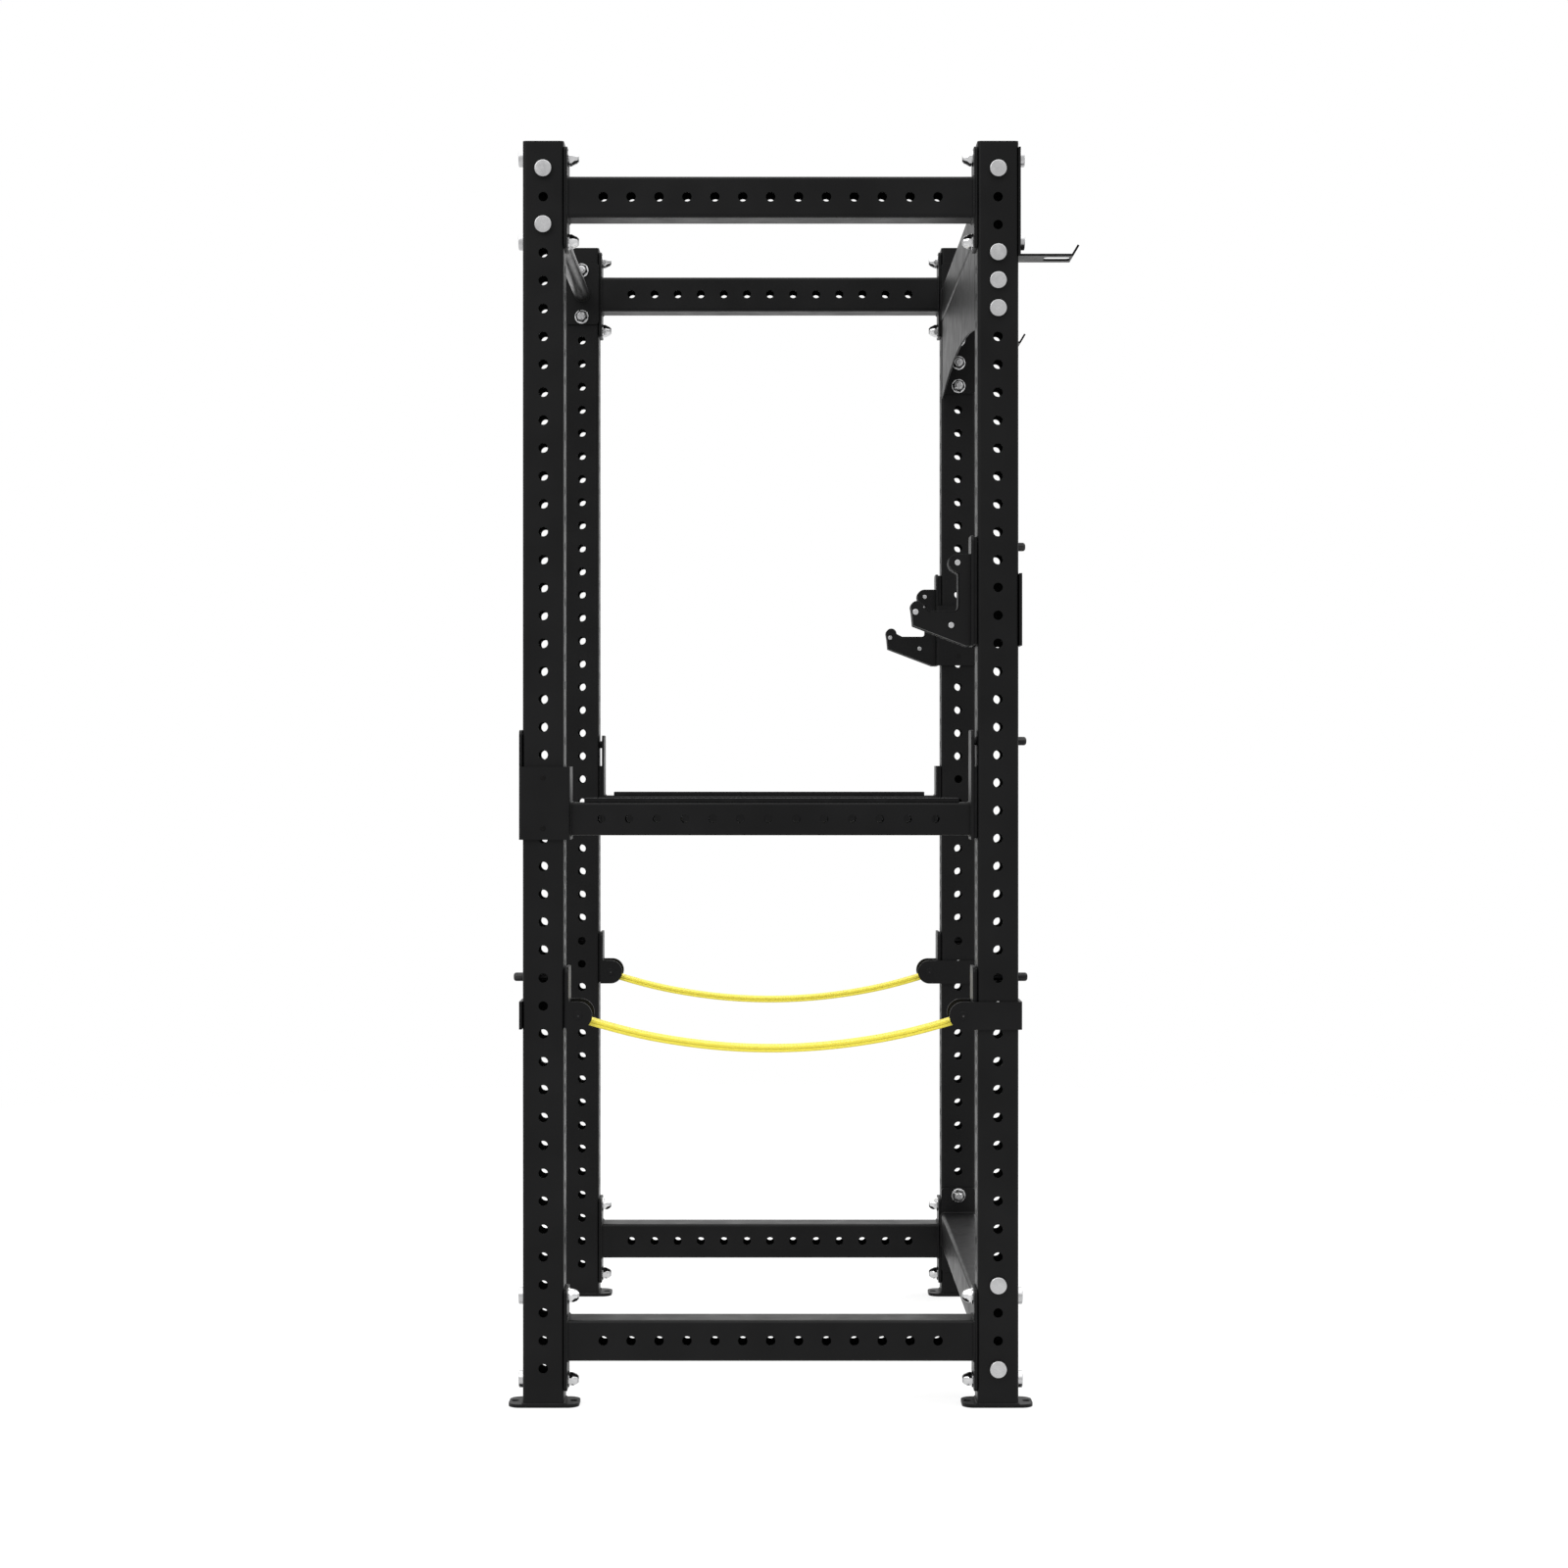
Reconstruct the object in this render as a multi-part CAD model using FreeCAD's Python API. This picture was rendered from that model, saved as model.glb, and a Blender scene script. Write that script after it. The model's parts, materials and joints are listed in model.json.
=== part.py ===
import FreeCAD, Part
import math
import os

# A free-standing power cage of 75 mm square tube, in millimetres.
# +X is the rear, +Y is the left, +Z is up. The origin is on the floor, midway between the four uprights.
# Each accessory hangs on an upright. It is drawn around that upright's axis at the height of its pin,
# with +X towards the inside of the cage and +Y towards the side that its bracket wraps.

V = FreeCAD.Vector

# Tube and hole system
TUBE = 75.0
WALL = 3.0
TUBE_CORNER = 7.0
HALF = TUBE / 2
INCH = 25.4
PITCH = 2 * INCH
HOLE_R = 8.5
# How far a cutting tool runs past the face that it cuts
PAST = 1.0

# Cage size
UPRIGHT_X = 414.0
UPRIGHT_Y = 583.6
FOOT_T = 6.35
UPRIGHT_LENGTH = 2300.0
UPRIGHT_TOP = FOOT_T + UPRIGHT_LENGTH
SIDE_HOLES = 44
CLOSE_ZONE = (46, 68)
INNER_X = UPRIGHT_X - HALF
INNER_Y = UPRIGHT_Y - HALF

# Feet and caps
FOOT_LENGTH = 129.4
FOOT_CORNER = 22.0
ANCHOR_R = 7.0
ANCHOR_OFFSET = 53.7
CAP_DEPTH = 14.0
CAP_WALL = 2.5
CAP_CORNER = TUBE_CORNER - WALL

# Beams between the uprights
PLATE_T = 6.0
PLATE_MARGIN = 16.5
PLATE_CORNER = 8.0
TOP_RAIL_Z = UPRIGHT_TOP - 4 * INCH
BOTTOM_RAIL_Z = 121.95
RAIL_BOLT = 3 * INCH
RAIL_HOLES = 13
BAR_R = 16.7
BAR_WALL = 4.0
REAR_TOP_Z = TOP_RAIL_Z - INCH
REAR_BOTTOM_Z = BOTTOM_RAIL_Z + INCH
REAR_TOP_BOLTS = (76.2, -76.2, -127.0, -177.8)

# Arched panel under the rear top beam
PANEL_T = 4.0
PANEL_SETBACK = 1.5
PANEL_END_Z = 1974.0
PANEL_MIDDLE_Z = 2008.0

# Frame fasteners
SHANK_R = 8.0
HEAD_R = 15.5
HEAD_T = 9.5
HEAD_EDGE = 1.5
WASHER_R = 15.0
WASHER_T = 2.5
NUT_FLATS = 24.0
NUT_T = 14.5
NUT_STRAIGHT = 4.0
NUT_END_R = 9.0
TIP = 2.5
TIP_CHAMFER = 2.0

# Hanger brackets behind the rear uprights
HANGER_T = 4.0
HANGER_TOP = 2296.0
HANGER_ARM_Z = 2097.0
HANGER_REACH = 99.5
HANGER_LIP = (110.8, 19.0)
HANGER_SLOT = (48.5, 96.5)
HANGER_SLOT_W = 40.0
HANGER_SLOT_R = 8.0

# Brackets that hang on an upright
GAP = 0.5
PLATE = 5.0
PAD_T = 6.0
PAD_INSET = 3.0
SIDE_FACE = HALF + GAP
SIDE_BACK = SIDE_FACE + PLATE
INNER_FACE = SIDE_FACE + PAD_T
INNER_BACK = INNER_FACE + PLATE
OUTER_FACE = -HALF - 1.5
OUTER_BACK = OUTER_FACE - PLATE
BEND_R = 7.0
EAR_TOP_R = 12.0
PIN_R = 7.95
PIN_ROUND = 5.0
SCREW_R = 4.5
SCREW_T = 1.2
SCREW_INSETS = (20.0, 21.0)

# J-cups
JCUP_Z = UPRIGHT_TOP - 29 * INCH
JCUP_TOP = 19.0
JCUP_PIN_END = -52.5
JCUP_WRAP = (-182.0, -50.0)
CHEEK_T = 6.0
CHEEK_GAP = 44.0
NOSE = (73.2, -30.5)
NOSE_R = 15.5
NOSE_LAP = 60.0
NOSE_UNDERCUT = 6.0
HOOK = (146.8, -111.5)
HOOK_R = 10.6
SEAT_Z = -120.8
SEAT_FRONT = 126.0
SEAT_BACK = 69.0
SEAT_FILLET = 8.0
CHIN = (154.0, -145.0)
HEEL_X = 57.0
LINER_STEP = 3.0
CUP_BOLTS = ((149.7, -120.4), (84.8, -144.6), (73.2, -30.5))
CUP_BOLT_R = 4.0
CUP_HEAD_R = 5.4
CUP_END_R = 4.5
CUP_HEAD_T = 3.0
CUP_HEAD_FILLET = 1.0

# Flip-down safeties
SAFETY_Z = UPRIGHT_TOP - 43 * INCH
SAFETY_WRAP = (-180.0, -47.0)
SAFETY_TOP = 20.0
SAFETY_BAR = 60.0
SAFETY_BAR_Z = -142.15
SAFETY_CORNER = 5.0
STRIP_T = 8.0
STRIP_W = 50.0
STRIP_X = (-340.0, 344.0)
SAFETY_HOLE_R = 7.25
SAFETY_HOLES_X = -4.0
SAFETY_PIN_END = -54.5
LOCK_PIN_END = 12.0

# Strap safeties
STRAP_Z = UPRIGHT_TOP - 60 * INCH
STRAP_WRAP = (-93.65, -42.85)
STRAP_TOP = 20.0
STRAP_PAD_T = 3.0
STRAP_BACK = SIDE_FACE + STRAP_PAD_T + PLATE
STRAP_PIN_END = -56.5
EAR_R = INCH
EAR = (63.6, (STRAP_WRAP[0] + STRAP_WRAP[1]) / 2)
CROSS_PIN_R = 8.0
CROSS_PROUD = 1.0
CENTRE_MARK = 2.0
WEB_W = 50.8
WEB_T = 11.5
EYE_R = 13.0
# The strap's middle line from its eye to mid-span, as (x, z); the other half mirrors it.
STRAP_ROUTE = ((-352.2, 708.2), (-300.0, 691.8), (-219.0, 672.2), (-128.0, 658.2), (-42.0, 651.6))


def box(x0, x1, y0, y1, z0, z1):
    return Part.makeBox(x1 - x0, y1 - y0, z1 - z0, V(x0, y0, z0))


def rod(radius, start, end):
    start, end = V(*start), V(*end)
    return Part.makeCylinder(radius, (end - start).Length, start, end - start)


def cut_all(shape, tools):
    return shape.cut(tools).removeSplitter() if tools else shape


def one_solid(shape):
    """The single solid of a boolean result."""
    clean = shape.removeSplitter()
    return clean.Solids[0] if len(clean.Solids) == 1 else clean


def save(node, *solids):
    """Writes one node, a solid or a group of separate solids."""
    shape = solids[0] if len(solids) == 1 else Part.makeCompound(list(solids))
    if not shape.isValid():
        raise ValueError(node + " is not valid")
    shape.exportStep("parts/" + node + ".step")


def rounded_face(width, depth, radius):
    """A rectangle with round corners in the XY plane, centred on the origin."""
    x, y = width / 2 - radius, depth / 2 - radius
    diagonal = radius * math.sqrt(0.5)
    arcs = []
    for sx, sy in ((1, 1), (-1, 1), (-1, -1), (1, -1)):
        ends = [V(sx * (x + radius), sy * y, 0), V(sx * x, sy * (y + radius), 0)]
        if sx * sy < 0:
            ends.reverse()
        arcs.append((ends[0], V(sx * (x + diagonal), sy * (y + diagonal), 0), ends[1]))
    edges = []
    for arc, following in zip(arcs, arcs[1:] + arcs[:1]):
        edges.append(Part.Arc(*arc).toShape())
        edges.append(Part.LineSegment(arc[2], following[0]).toShape())
    return Part.Face(Part.Wire(edges))


def block(width, depth, height, radius):
    """An upright block with round corners, standing on the XY plane."""
    return rounded_face(width, depth, radius).extrude(V(0, 0, height))


def tube(length, size, corner):
    """A square tube along +Z from the XY plane."""
    outer = block(size, size, length, corner)
    return outer.cut(block(size - 2 * WALL, size - 2 * WALL, length, corner - WALL))


def laid(shape, axis):
    """Turns a shape from along +Z to along +X or +Y, centred faces kept level."""
    turned = shape.copy()
    if axis == "x":
        turned.rotate(V(0, 0, 0), V(0, 1, 0), 90)
    else:
        turned.rotate(V(0, 0, 0), V(1, 0, 0), -90)
    return turned


def moved(shape, x, y, z):
    result = shape.copy()
    result.translate(V(x, y, z))
    return result


def path_edges(pieces, y):
    """Edges in the plane at y: a piece of two (x, z) points is a line, and one of three an arc."""
    edges = []
    for piece in pieces:
        ends = [V(x, y, z) for x, z in piece]
        curve = Part.Arc(*ends) if len(ends) == 3 else Part.LineSegment(*ends)
        edges.append(curve.toShape())
    return edges


def plate_profile(pieces, thickness, y):
    """A flat plate in the XZ plane, from its outline's lines and arcs."""
    return Part.Face(Part.Wire(path_edges(pieces, y))).extrude(V(0, thickness, 0))


# ---------------------------------------------------------------- frame

def corner_name(sx, sy):
    return ("rear" if sx > 0 else "front") + "_" + ("left" if sy > 0 else "right")


CORNERS = [(sx, sy) for sx in (-1, 1) for sy in (-1, 1)]


def upright():
    """One upright on its own axis, at its real height, with the holes of all four faces."""
    body = moved(tube(UPRIGHT_LENGTH, TUBE, TUBE_CORNER), 0, 0, FOOT_T)
    holes = []
    for k in range(SIDE_HOLES):
        z = UPRIGHT_TOP - PITCH * (k + 1)
        holes.append(rod(HOLE_R, (0, -TUBE, z), (0, TUBE, z)))
    last = 2 * SIDE_HOLES + 1
    for inches in range(1, last + 1):
        close = CLOSE_ZONE[0] <= inches <= CLOSE_ZONE[1]
        if inches % 2 or close:
            z = UPRIGHT_TOP - INCH * inches
            holes.append(rod(HOLE_R, (-TUBE, 0, z), (TUBE, 0, z)))
    return cut_all(body, holes)


def uprights():
    shape = upright()
    for sx, sy in CORNERS:
        save("upright_" + corner_name(sx, sy), moved(shape, sx * UPRIGHT_X, sy * UPRIGHT_Y, 0))


def foot():
    plate = block(FOOT_LENGTH, TUBE, FOOT_T, FOOT_CORNER)
    holes = []
    for s in (-1, 1):
        x = s * ANCHOR_OFFSET
        holes.append(rod(ANCHOR_R, (x, 0, -PAST), (x, 0, FOOT_T + PAST)))
    return cut_all(plate, holes)


def feet():
    for sx, sy in CORNERS:
        save("foot_" + corner_name(sx, sy), moved(foot(), sx * UPRIGHT_X, sy * UPRIGHT_Y, 0))


def caps():
    """Plastic plugs pressed into the uprights' tops, hollow from below."""
    size = TUBE - 2 * WALL
    plug = block(size, size, CAP_DEPTH, CAP_CORNER)
    hollow = size - 2 * CAP_WALL
    plug = plug.cut(block(hollow, hollow, CAP_DEPTH - CAP_WALL, CAP_CORNER - CAP_WALL))
    z = UPRIGHT_TOP - CAP_DEPTH
    save("upright_caps", *[moved(plug, sx * UPRIGHT_X, sy * UPRIGHT_Y, z) for sx, sy in CORNERS])


def end_plate(axis, bolts):
    """A welded end plate across an axis, centred on its beam, with a hole for each bolt height."""
    top, bottom = max(bolts) + PLATE_MARGIN, min(bolts) - PLATE_MARGIN
    plate = block(top - bottom, TUBE, PLATE_T, PLATE_CORNER)
    plate = moved(laid(plate, "x"), -PLATE_T / 2, 0, (top + bottom) / 2)
    holes = [rod(HOLE_R, (-PLATE_T, 0, z), (PLATE_T, 0, z)) for z in bolts]
    plate = cut_all(plate, holes)
    if axis == "y":
        plate.rotate(V(0, 0, 0), V(0, 0, 1), 90)
    return plate


def side_rails():
    length = 2 * (INNER_X - PLATE_T)
    rail = moved(laid(tube(length, TUBE, TUBE_CORNER), "x"), -length / 2, 0, 0)
    steps = [(i - (RAIL_HOLES - 1) / 2) * PITCH for i in range(RAIL_HOLES)]
    rail = cut_all(rail, [rod(HOLE_R, (x, -TUBE, 0), (x, TUBE, 0)) for x in steps])
    plates = []
    plate = end_plate("x", (RAIL_BOLT, -RAIL_BOLT))
    for level, z in (("top", TOP_RAIL_Z), ("bottom", BOTTOM_RAIL_Z)):
        for side, sy in (("right", -1), ("left", 1)):
            save("side_rail_" + level + "_" + side, moved(rail, 0, sy * UPRIGHT_Y, z))
            for sx in (-1, 1):
                plates.append(moved(plate, sx * (INNER_X - PLATE_T / 2), sy * UPRIGHT_Y, z))
    save("side_rail_end_plates", *plates)


def cross_plates(x, z, bolts):
    """The two end plates of a beam that runs from right to left."""
    plate = end_plate("y", bolts)
    y = INNER_Y - PLATE_T / 2
    return [moved(plate, x, -y, z), moved(plate, x, y, z)]


def pullup_bar():
    reach = INNER_Y - PLATE_T
    outer = rod(BAR_R, (-UPRIGHT_X, -reach, TOP_RAIL_Z), (-UPRIGHT_X, reach, TOP_RAIL_Z))
    inner = rod(BAR_R - BAR_WALL, (-UPRIGHT_X, -reach, TOP_RAIL_Z), (-UPRIGHT_X, reach, TOP_RAIL_Z))
    save("pullup_bar", outer.cut(inner))
    save("pullup_bar_end_plates", *cross_plates(-UPRIGHT_X, TOP_RAIL_Z, (PITCH, -PITCH)))


def rear_beams():
    length = 2 * (INNER_Y - PLATE_T)
    beam = moved(laid(tube(length, TUBE, TUBE_CORNER), "y"), 0, -length / 2, 0)
    save("rear_top_beam", moved(beam, UPRIGHT_X, 0, REAR_TOP_Z))
    save("rear_bottom_beam", moved(beam, UPRIGHT_X, 0, REAR_BOTTOM_Z))
    top_plates = cross_plates(UPRIGHT_X, REAR_TOP_Z, REAR_TOP_BOLTS)
    bottom_plates = cross_plates(UPRIGHT_X, REAR_BOTTOM_Z, (RAIL_BOLT, -RAIL_BOLT))
    save("rear_beam_end_plates", *top_plates, *bottom_plates)


def rear_panel():
    """The flat plate welded under the rear top beam, with an arched lower edge."""
    y, top = INNER_Y - PLATE_T, REAR_TOP_Z - HALF
    x = INNER_X + PANEL_SETBACK
    ends = [V(x, -y, top), V(x, -y, PANEL_END_Z), V(x, y, PANEL_END_Z), V(x, y, top)]
    edges = [
        Part.LineSegment(ends[0], ends[1]).toShape(),
        Part.Arc(ends[1], V(x, 0, PANEL_MIDDLE_Z), ends[2]).toShape(),
        Part.LineSegment(ends[2], ends[3]).toShape(),
        Part.LineSegment(ends[3], ends[0]).toShape(),
    ]
    save("rear_panel", Part.Face(Part.Wire(edges)).extrude(V(PANEL_T, 0, 0)))


# ---------------------------------------------------------------- frame fasteners

def bolt(grip):
    """A round-head bolt along Z: the head sits on the XY plane, the pointed shank hangs below it."""
    head = Part.makeCylinder(HEAD_R, HEAD_T)
    rim = [e for e in head.Edges if e.Closed and e.BoundBox.ZMin > HEAD_T / 2]
    head = head.makeChamfer(HEAD_EDGE, rim)
    length = grip + WASHER_T + NUT_T + TIP
    shank = rod(SHANK_R, (0, 0, 0), (0, 0, -length))
    rim = [e for e in shank.Edges if e.Closed and e.BoundBox.ZMax < TIP - length]
    return one_solid(head.fuse(shank.makeChamfer(TIP_CHAMFER, rim)))


def washer():
    ring = Part.makeCylinder(WASHER_R, WASHER_T)
    return ring.cut(Part.makeCylinder(SHANK_R, WASHER_T))


def nut():
    """A hexagon nut on the XY plane, turned to a cone from a little above its seat to its outer end."""
    corner = NUT_FLATS / math.sqrt(3)
    ring = []
    for i in range(7):
        angle = math.radians(60 * i)
        ring.append(V(corner * math.cos(angle), corner * math.sin(angle), 0))
    body = Part.Face(Part.makePolygon(ring)).extrude(V(0, 0, NUT_T))
    cone = Part.makeCone(corner, NUT_END_R, NUT_T - NUT_STRAIGHT, V(0, 0, NUT_STRAIGHT))
    turned = Part.makeCylinder(corner, NUT_STRAIGHT).fuse(cone)
    return one_solid(body.common(turned).cut(Part.makeCylinder(SHANK_R, NUT_T)))


def frame_joints():
    """Every bolted joint of the frame as (under the head, outward direction, clamped thickness)."""
    joints = []
    clamp = TUBE + PLATE_T
    for sx, sy in CORNERS:
        for level in (TOP_RAIL_Z, BOTTOM_RAIL_Z):
            for dz in (RAIL_BOLT, -RAIL_BOLT):
                extra = HANGER_T if sx > 0 and level == TOP_RAIL_Z else 0
                point = V(sx * (UPRIGHT_X + HALF + extra), sy * UPRIGHT_Y, level + dz)
                joints.append((point, V(sx, 0, 0), clamp + extra))
    for sy in (-1, 1):
        y = sy * (UPRIGHT_Y + HALF)
        front = [TOP_RAIL_Z + dz for dz in (PITCH, -PITCH)]
        rear = [REAR_TOP_Z + dz for dz in REAR_TOP_BOLTS]
        rear += [REAR_BOTTOM_Z + dz for dz in (RAIL_BOLT, -RAIL_BOLT)]
        joints += [(V(-UPRIGHT_X, y, z), V(0, sy, 0), clamp) for z in front]
        joints += [(V(UPRIGHT_X, y, z), V(0, sy, 0), clamp) for z in rear]
    return joints


def along(shape, point, direction):
    """Stands a shape's +Z along a direction, with its origin at a point."""
    result = shape.copy()
    result.Placement = FreeCAD.Placement(point, FreeCAD.Rotation(V(0, 0, 1), direction))
    return result


def frame_fasteners():
    bolts, washers, nuts = [], [], []
    for point, outward, grip in frame_joints():
        bolts.append(along(bolt(grip), point, outward))
        seat = point - outward * grip
        washers.append(along(washer(), seat, -outward))
        nuts.append(along(nut(), seat - outward * WASHER_T, -outward))
    save("frame_bolts", *bolts)
    save("frame_washers", *washers)
    save("frame_nuts", *nuts)


# ---------------------------------------------------------------- hangers

def hanger():
    """A bent plate on an upright's outer face: drawn around the upright's axis, +X away from the cage."""
    back, reach = HALF, HALF + HANGER_REACH
    lip_x, lip_z = HALF + HANGER_LIP[0], HANGER_ARM_Z + HANGER_LIP[1]
    run, rise = lip_x - reach, lip_z - HANGER_ARM_Z
    length = math.hypot(run, rise)
    across = V(-rise / length * HANGER_T, 0, run / length * HANGER_T)
    top = HANGER_ARM_Z + HANGER_T
    knee = across.x + (HANGER_T - across.z) * run / rise
    outline = [
        V(back, 0, HANGER_TOP), V(back, 0, HANGER_ARM_Z), V(reach, 0, HANGER_ARM_Z), V(lip_x, 0, lip_z),
        V(lip_x + across.x, 0, lip_z + across.z), V(reach + knee, 0, top),
        V(back + HANGER_T, 0, top), V(back + HANGER_T, 0, HANGER_TOP), V(back, 0, HANGER_TOP),
    ]
    body = Part.Face(Part.makePolygon(outline)).extrude(V(0, TUBE, 0))
    body = moved(body, 0, -HALF, 0)
    half_slot = HANGER_SLOT_W / 2
    low, high = (HALF + x for x in HANGER_SLOT)
    slot = box(low, high, -half_slot, half_slot, HANGER_ARM_Z - PAST, top + PAST)
    corners = [e for e in slot.Edges if e.BoundBox.ZLength > HANGER_T]
    holes = [slot.makeFillet(HANGER_SLOT_R, corners)]
    for z in (TOP_RAIL_Z + RAIL_BOLT, TOP_RAIL_Z - RAIL_BOLT):
        holes.append(rod(HOLE_R, (back - PAST, 0, z), (back + HANGER_T + PAST, 0, z)))
    return cut_all(body, holes)


def hangers():
    for side, sy in (("right", -1), ("left", 1)):
        save("hanger_bracket_" + side, moved(hanger(), UPRIGHT_X, sy * UPRIGHT_Y, 0))


# ---------------------------------------------------------------- accessory parts

def placed(shape, corner, wrap, z):
    """Puts an accessory's piece on a corner's upright. wrap is the side, -1 or 1 along Y, that it wraps."""
    sx, sy = corner
    result = shape.copy()
    if sx > 0:
        result = result.mirror(V(0, 0, 0), V(1, 0, 0))
    if wrap < 0:
        result = result.mirror(V(0, 0, 0), V(0, 1, 0))
    return moved(result, sx * UPRIGHT_X, sy * UPRIGHT_Y, z)


def bent_edges(shape):
    """A block's two upright edges on the side that its bracket wraps."""
    return [e for e in shape.Edges if e.BoundBox.ZLength > PAST and e.BoundBox.YMin > 0]


def round_topped(body):
    """Rounds the two upper corners of a plate that lies across X."""
    top = body.BoundBox.ZMax
    corners = [e for e in body.Edges if e.BoundBox.XLength > PAST and e.BoundBox.ZMin > top - PAST]
    return body.makeFillet(EAR_TOP_R, corners)


def wrap_bracket(bottom, top, leg_top, tall, pad_t=PAD_T):
    """A plate bent round three faces of an upright. One of its legs, inner or outer, rises to the pin."""
    inner_face = SIDE_FACE + pad_t
    outer = box(OUTER_BACK, inner_face + PLATE, -HALF, SIDE_BACK, bottom, top)
    outer = outer.makeFillet(BEND_R, bent_edges(outer))
    core = box(OUTER_FACE, inner_face, -TUBE, SIDE_FACE, bottom - PAST, top + PAST)
    core = core.makeFillet(BEND_R - PLATE, bent_edges(core))
    x0, x1 = (inner_face, inner_face + PLATE) if tall == "inner" else (OUTER_BACK, OUTER_FACE)
    leg = box(x0, x1, -HALF, HALF, bottom, leg_top)
    return one_solid(outer.cut(core).fuse(round_topped(leg)))


def pin(start, end):
    """A pin along X through the bracket's hole, well rounded at its free end."""
    body = rod(PIN_R, (start, 0, 0), (end, 0, 0))
    rim = [e for e in body.Edges if e.Closed and abs(e.BoundBox.Center.x - end) < PAST]
    return body.makeFillet(PIN_ROUND, rim)


def pad(bottom, top, drilled, pad_t=PAD_T):
    """The plastic wear pad between a bracket's inner plate and the upright."""
    half = HALF - PAD_INSET
    body = box(SIDE_FACE, SIDE_FACE + pad_t, -half, half, bottom + PAD_INSET, top)
    return body.cut(rod(HOLE_R, (0, 0, 0), (INNER_BACK, 0, 0))) if drilled else body


def wrap_screws(bottom, top):
    """The two low screw heads on a bracket's side plate, near its top and bottom."""
    heights = (top - SCREW_INSETS[0], bottom + SCREW_INSETS[1])
    return [rod(SCREW_R, (0, SIDE_BACK, z), (0, SIDE_BACK + SCREW_T, z)) for z in heights]


def pin_hole(shape, radius=PIN_R):
    return shape.cut(rod(radius, (-TUBE, 0, 0), (TUBE, 0, 0)))


# ---------------------------------------------------------------- J-cups

def cup_outline(step):
    """The J-cup's side view. step raises the plastic liner above the steel cheeks and draws it in below."""
    nose_x, nose_z = NOSE
    hook_x, hook_z = HOOK
    nose_r = NOSE_R + step / 3
    seat, front, back = SEAT_Z + step, SEAT_FRONT - step, SEAT_BACK + step
    hook_r = HOOK_R + step / 3
    chin_x, chin_z = CHIN[0] - step / 3, CHIN[1] + step / 3
    bottom = JCUP_WRAP[0] + step / 3
    root = INNER_BACK
    outer_x, inner_x = hook_x + hook_r, hook_x - hook_r
    fillet = SEAT_FILLET
    bow = fillet * (1 - math.sqrt(0.5))
    lap = math.radians(NOSE_LAP)
    under = (nose_x + nose_r * math.cos(lap), nose_z - nose_r * math.sin(lap))
    neck = (back, under[1] - NOSE_UNDERCUT)
    return [
        ((root, bottom), (HEEL_X, bottom)),
        ((HEEL_X, bottom), (chin_x, chin_z)),
        ((chin_x, chin_z), (outer_x, hook_z)),
        ((outer_x, hook_z), (hook_x, hook_z + hook_r), (inner_x, hook_z)),
        ((inner_x, hook_z), (front, seat)),
        ((front, seat), (back + fillet, seat)),
        ((back + fillet, seat), (back + bow, seat + bow), (back, seat + fillet)),
        ((back, seat + fillet), neck),
        (neck, under),
        (under, (nose_x + nose_r, nose_z), (nose_x, nose_z + nose_r)),
        ((nose_x, nose_z + nose_r), (root, nose_z + nose_r)),
        ((root, nose_z + nose_r), (root, bottom)),
    ]


def cup_holes():
    reach = CHEEK_GAP / 2 + CHEEK_T + PAST
    return [rod(CUP_BOLT_R, (x, -reach, z), (x, reach, z)) for x, z in CUP_BOLTS]


def cup_bolts():
    """Barrel bolts through both cheeks: a low round head outside, and a smaller round end inside."""
    bolts = []
    face = CHEEK_GAP / 2 + CHEEK_T
    for x, z in CUP_BOLTS:
        shank = rod(CUP_BOLT_R, (x, -face, z), (x, face, z))
        heads = []
        for s, radius in ((-1, CUP_HEAD_R), (1, CUP_END_R)):
            head = rod(radius, (x, s * face, z), (x, s * (face + CUP_HEAD_T), z))
            rim = [e for e in head.Edges if e.Closed and abs(e.BoundBox.Center.y) > face + CUP_HEAD_T / 2]
            heads.append(head.makeFillet(CUP_HEAD_FILLET, rim))
        bolts.append(one_solid(shank.fuse(heads)))
    return bolts


def jcup(side, sy):
    """One J-cup. It faces the front, and its bracket wraps the upright's side towards the cage's middle."""
    def put(shape):
        return placed(shape, (1, sy), -sy, JCUP_Z)

    bottom, top = JCUP_WRAP
    bracket = pin_hole(wrap_bracket(bottom, top, JCUP_TOP, "inner"))
    half = CHEEK_GAP / 2
    holes = cup_holes()
    cheeks = [plate_profile(cup_outline(0), CHEEK_T, y).cut(holes) for y in (-half - CHEEK_T, half)]
    liner = plate_profile(cup_outline(LINER_STEP), CHEEK_GAP, -half).cut(holes)
    save("jcup_" + side + "_bracket", put(bracket))
    save("jcup_" + side + "_pad", put(pad(bottom, JCUP_TOP - PAD_INSET, True)))
    save("jcup_" + side + "_pin", put(pin(INNER_BACK, JCUP_PIN_END)))
    save("jcup_" + side + "_cheeks", *[put(c) for c in cheeks])
    save("jcup_" + side + "_liner", put(liner))
    fasteners = cup_bolts() + wrap_screws(bottom, top)
    save("jcup_" + side + "_fasteners", *[put(f) for f in fasteners])


# ---------------------------------------------------------------- flip-down safeties

def safety_bar():
    """The bar between the two uprights, with its row of holes a little nearer to the lock bracket."""
    length = 2 * (UPRIGHT_X - INNER_BACK)
    body = moved(laid(tube(length, SAFETY_BAR, SAFETY_CORNER), "x"), -length / 2, 0, 0)
    steps = [SAFETY_HOLES_X + (i - (RAIL_HOLES - 1) / 2) * PITCH for i in range(RAIL_HOLES)]
    return cut_all(body, [rod(SAFETY_HOLE_R, (x, -TUBE, 0), (x, TUBE, 0)) for x in steps])


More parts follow.
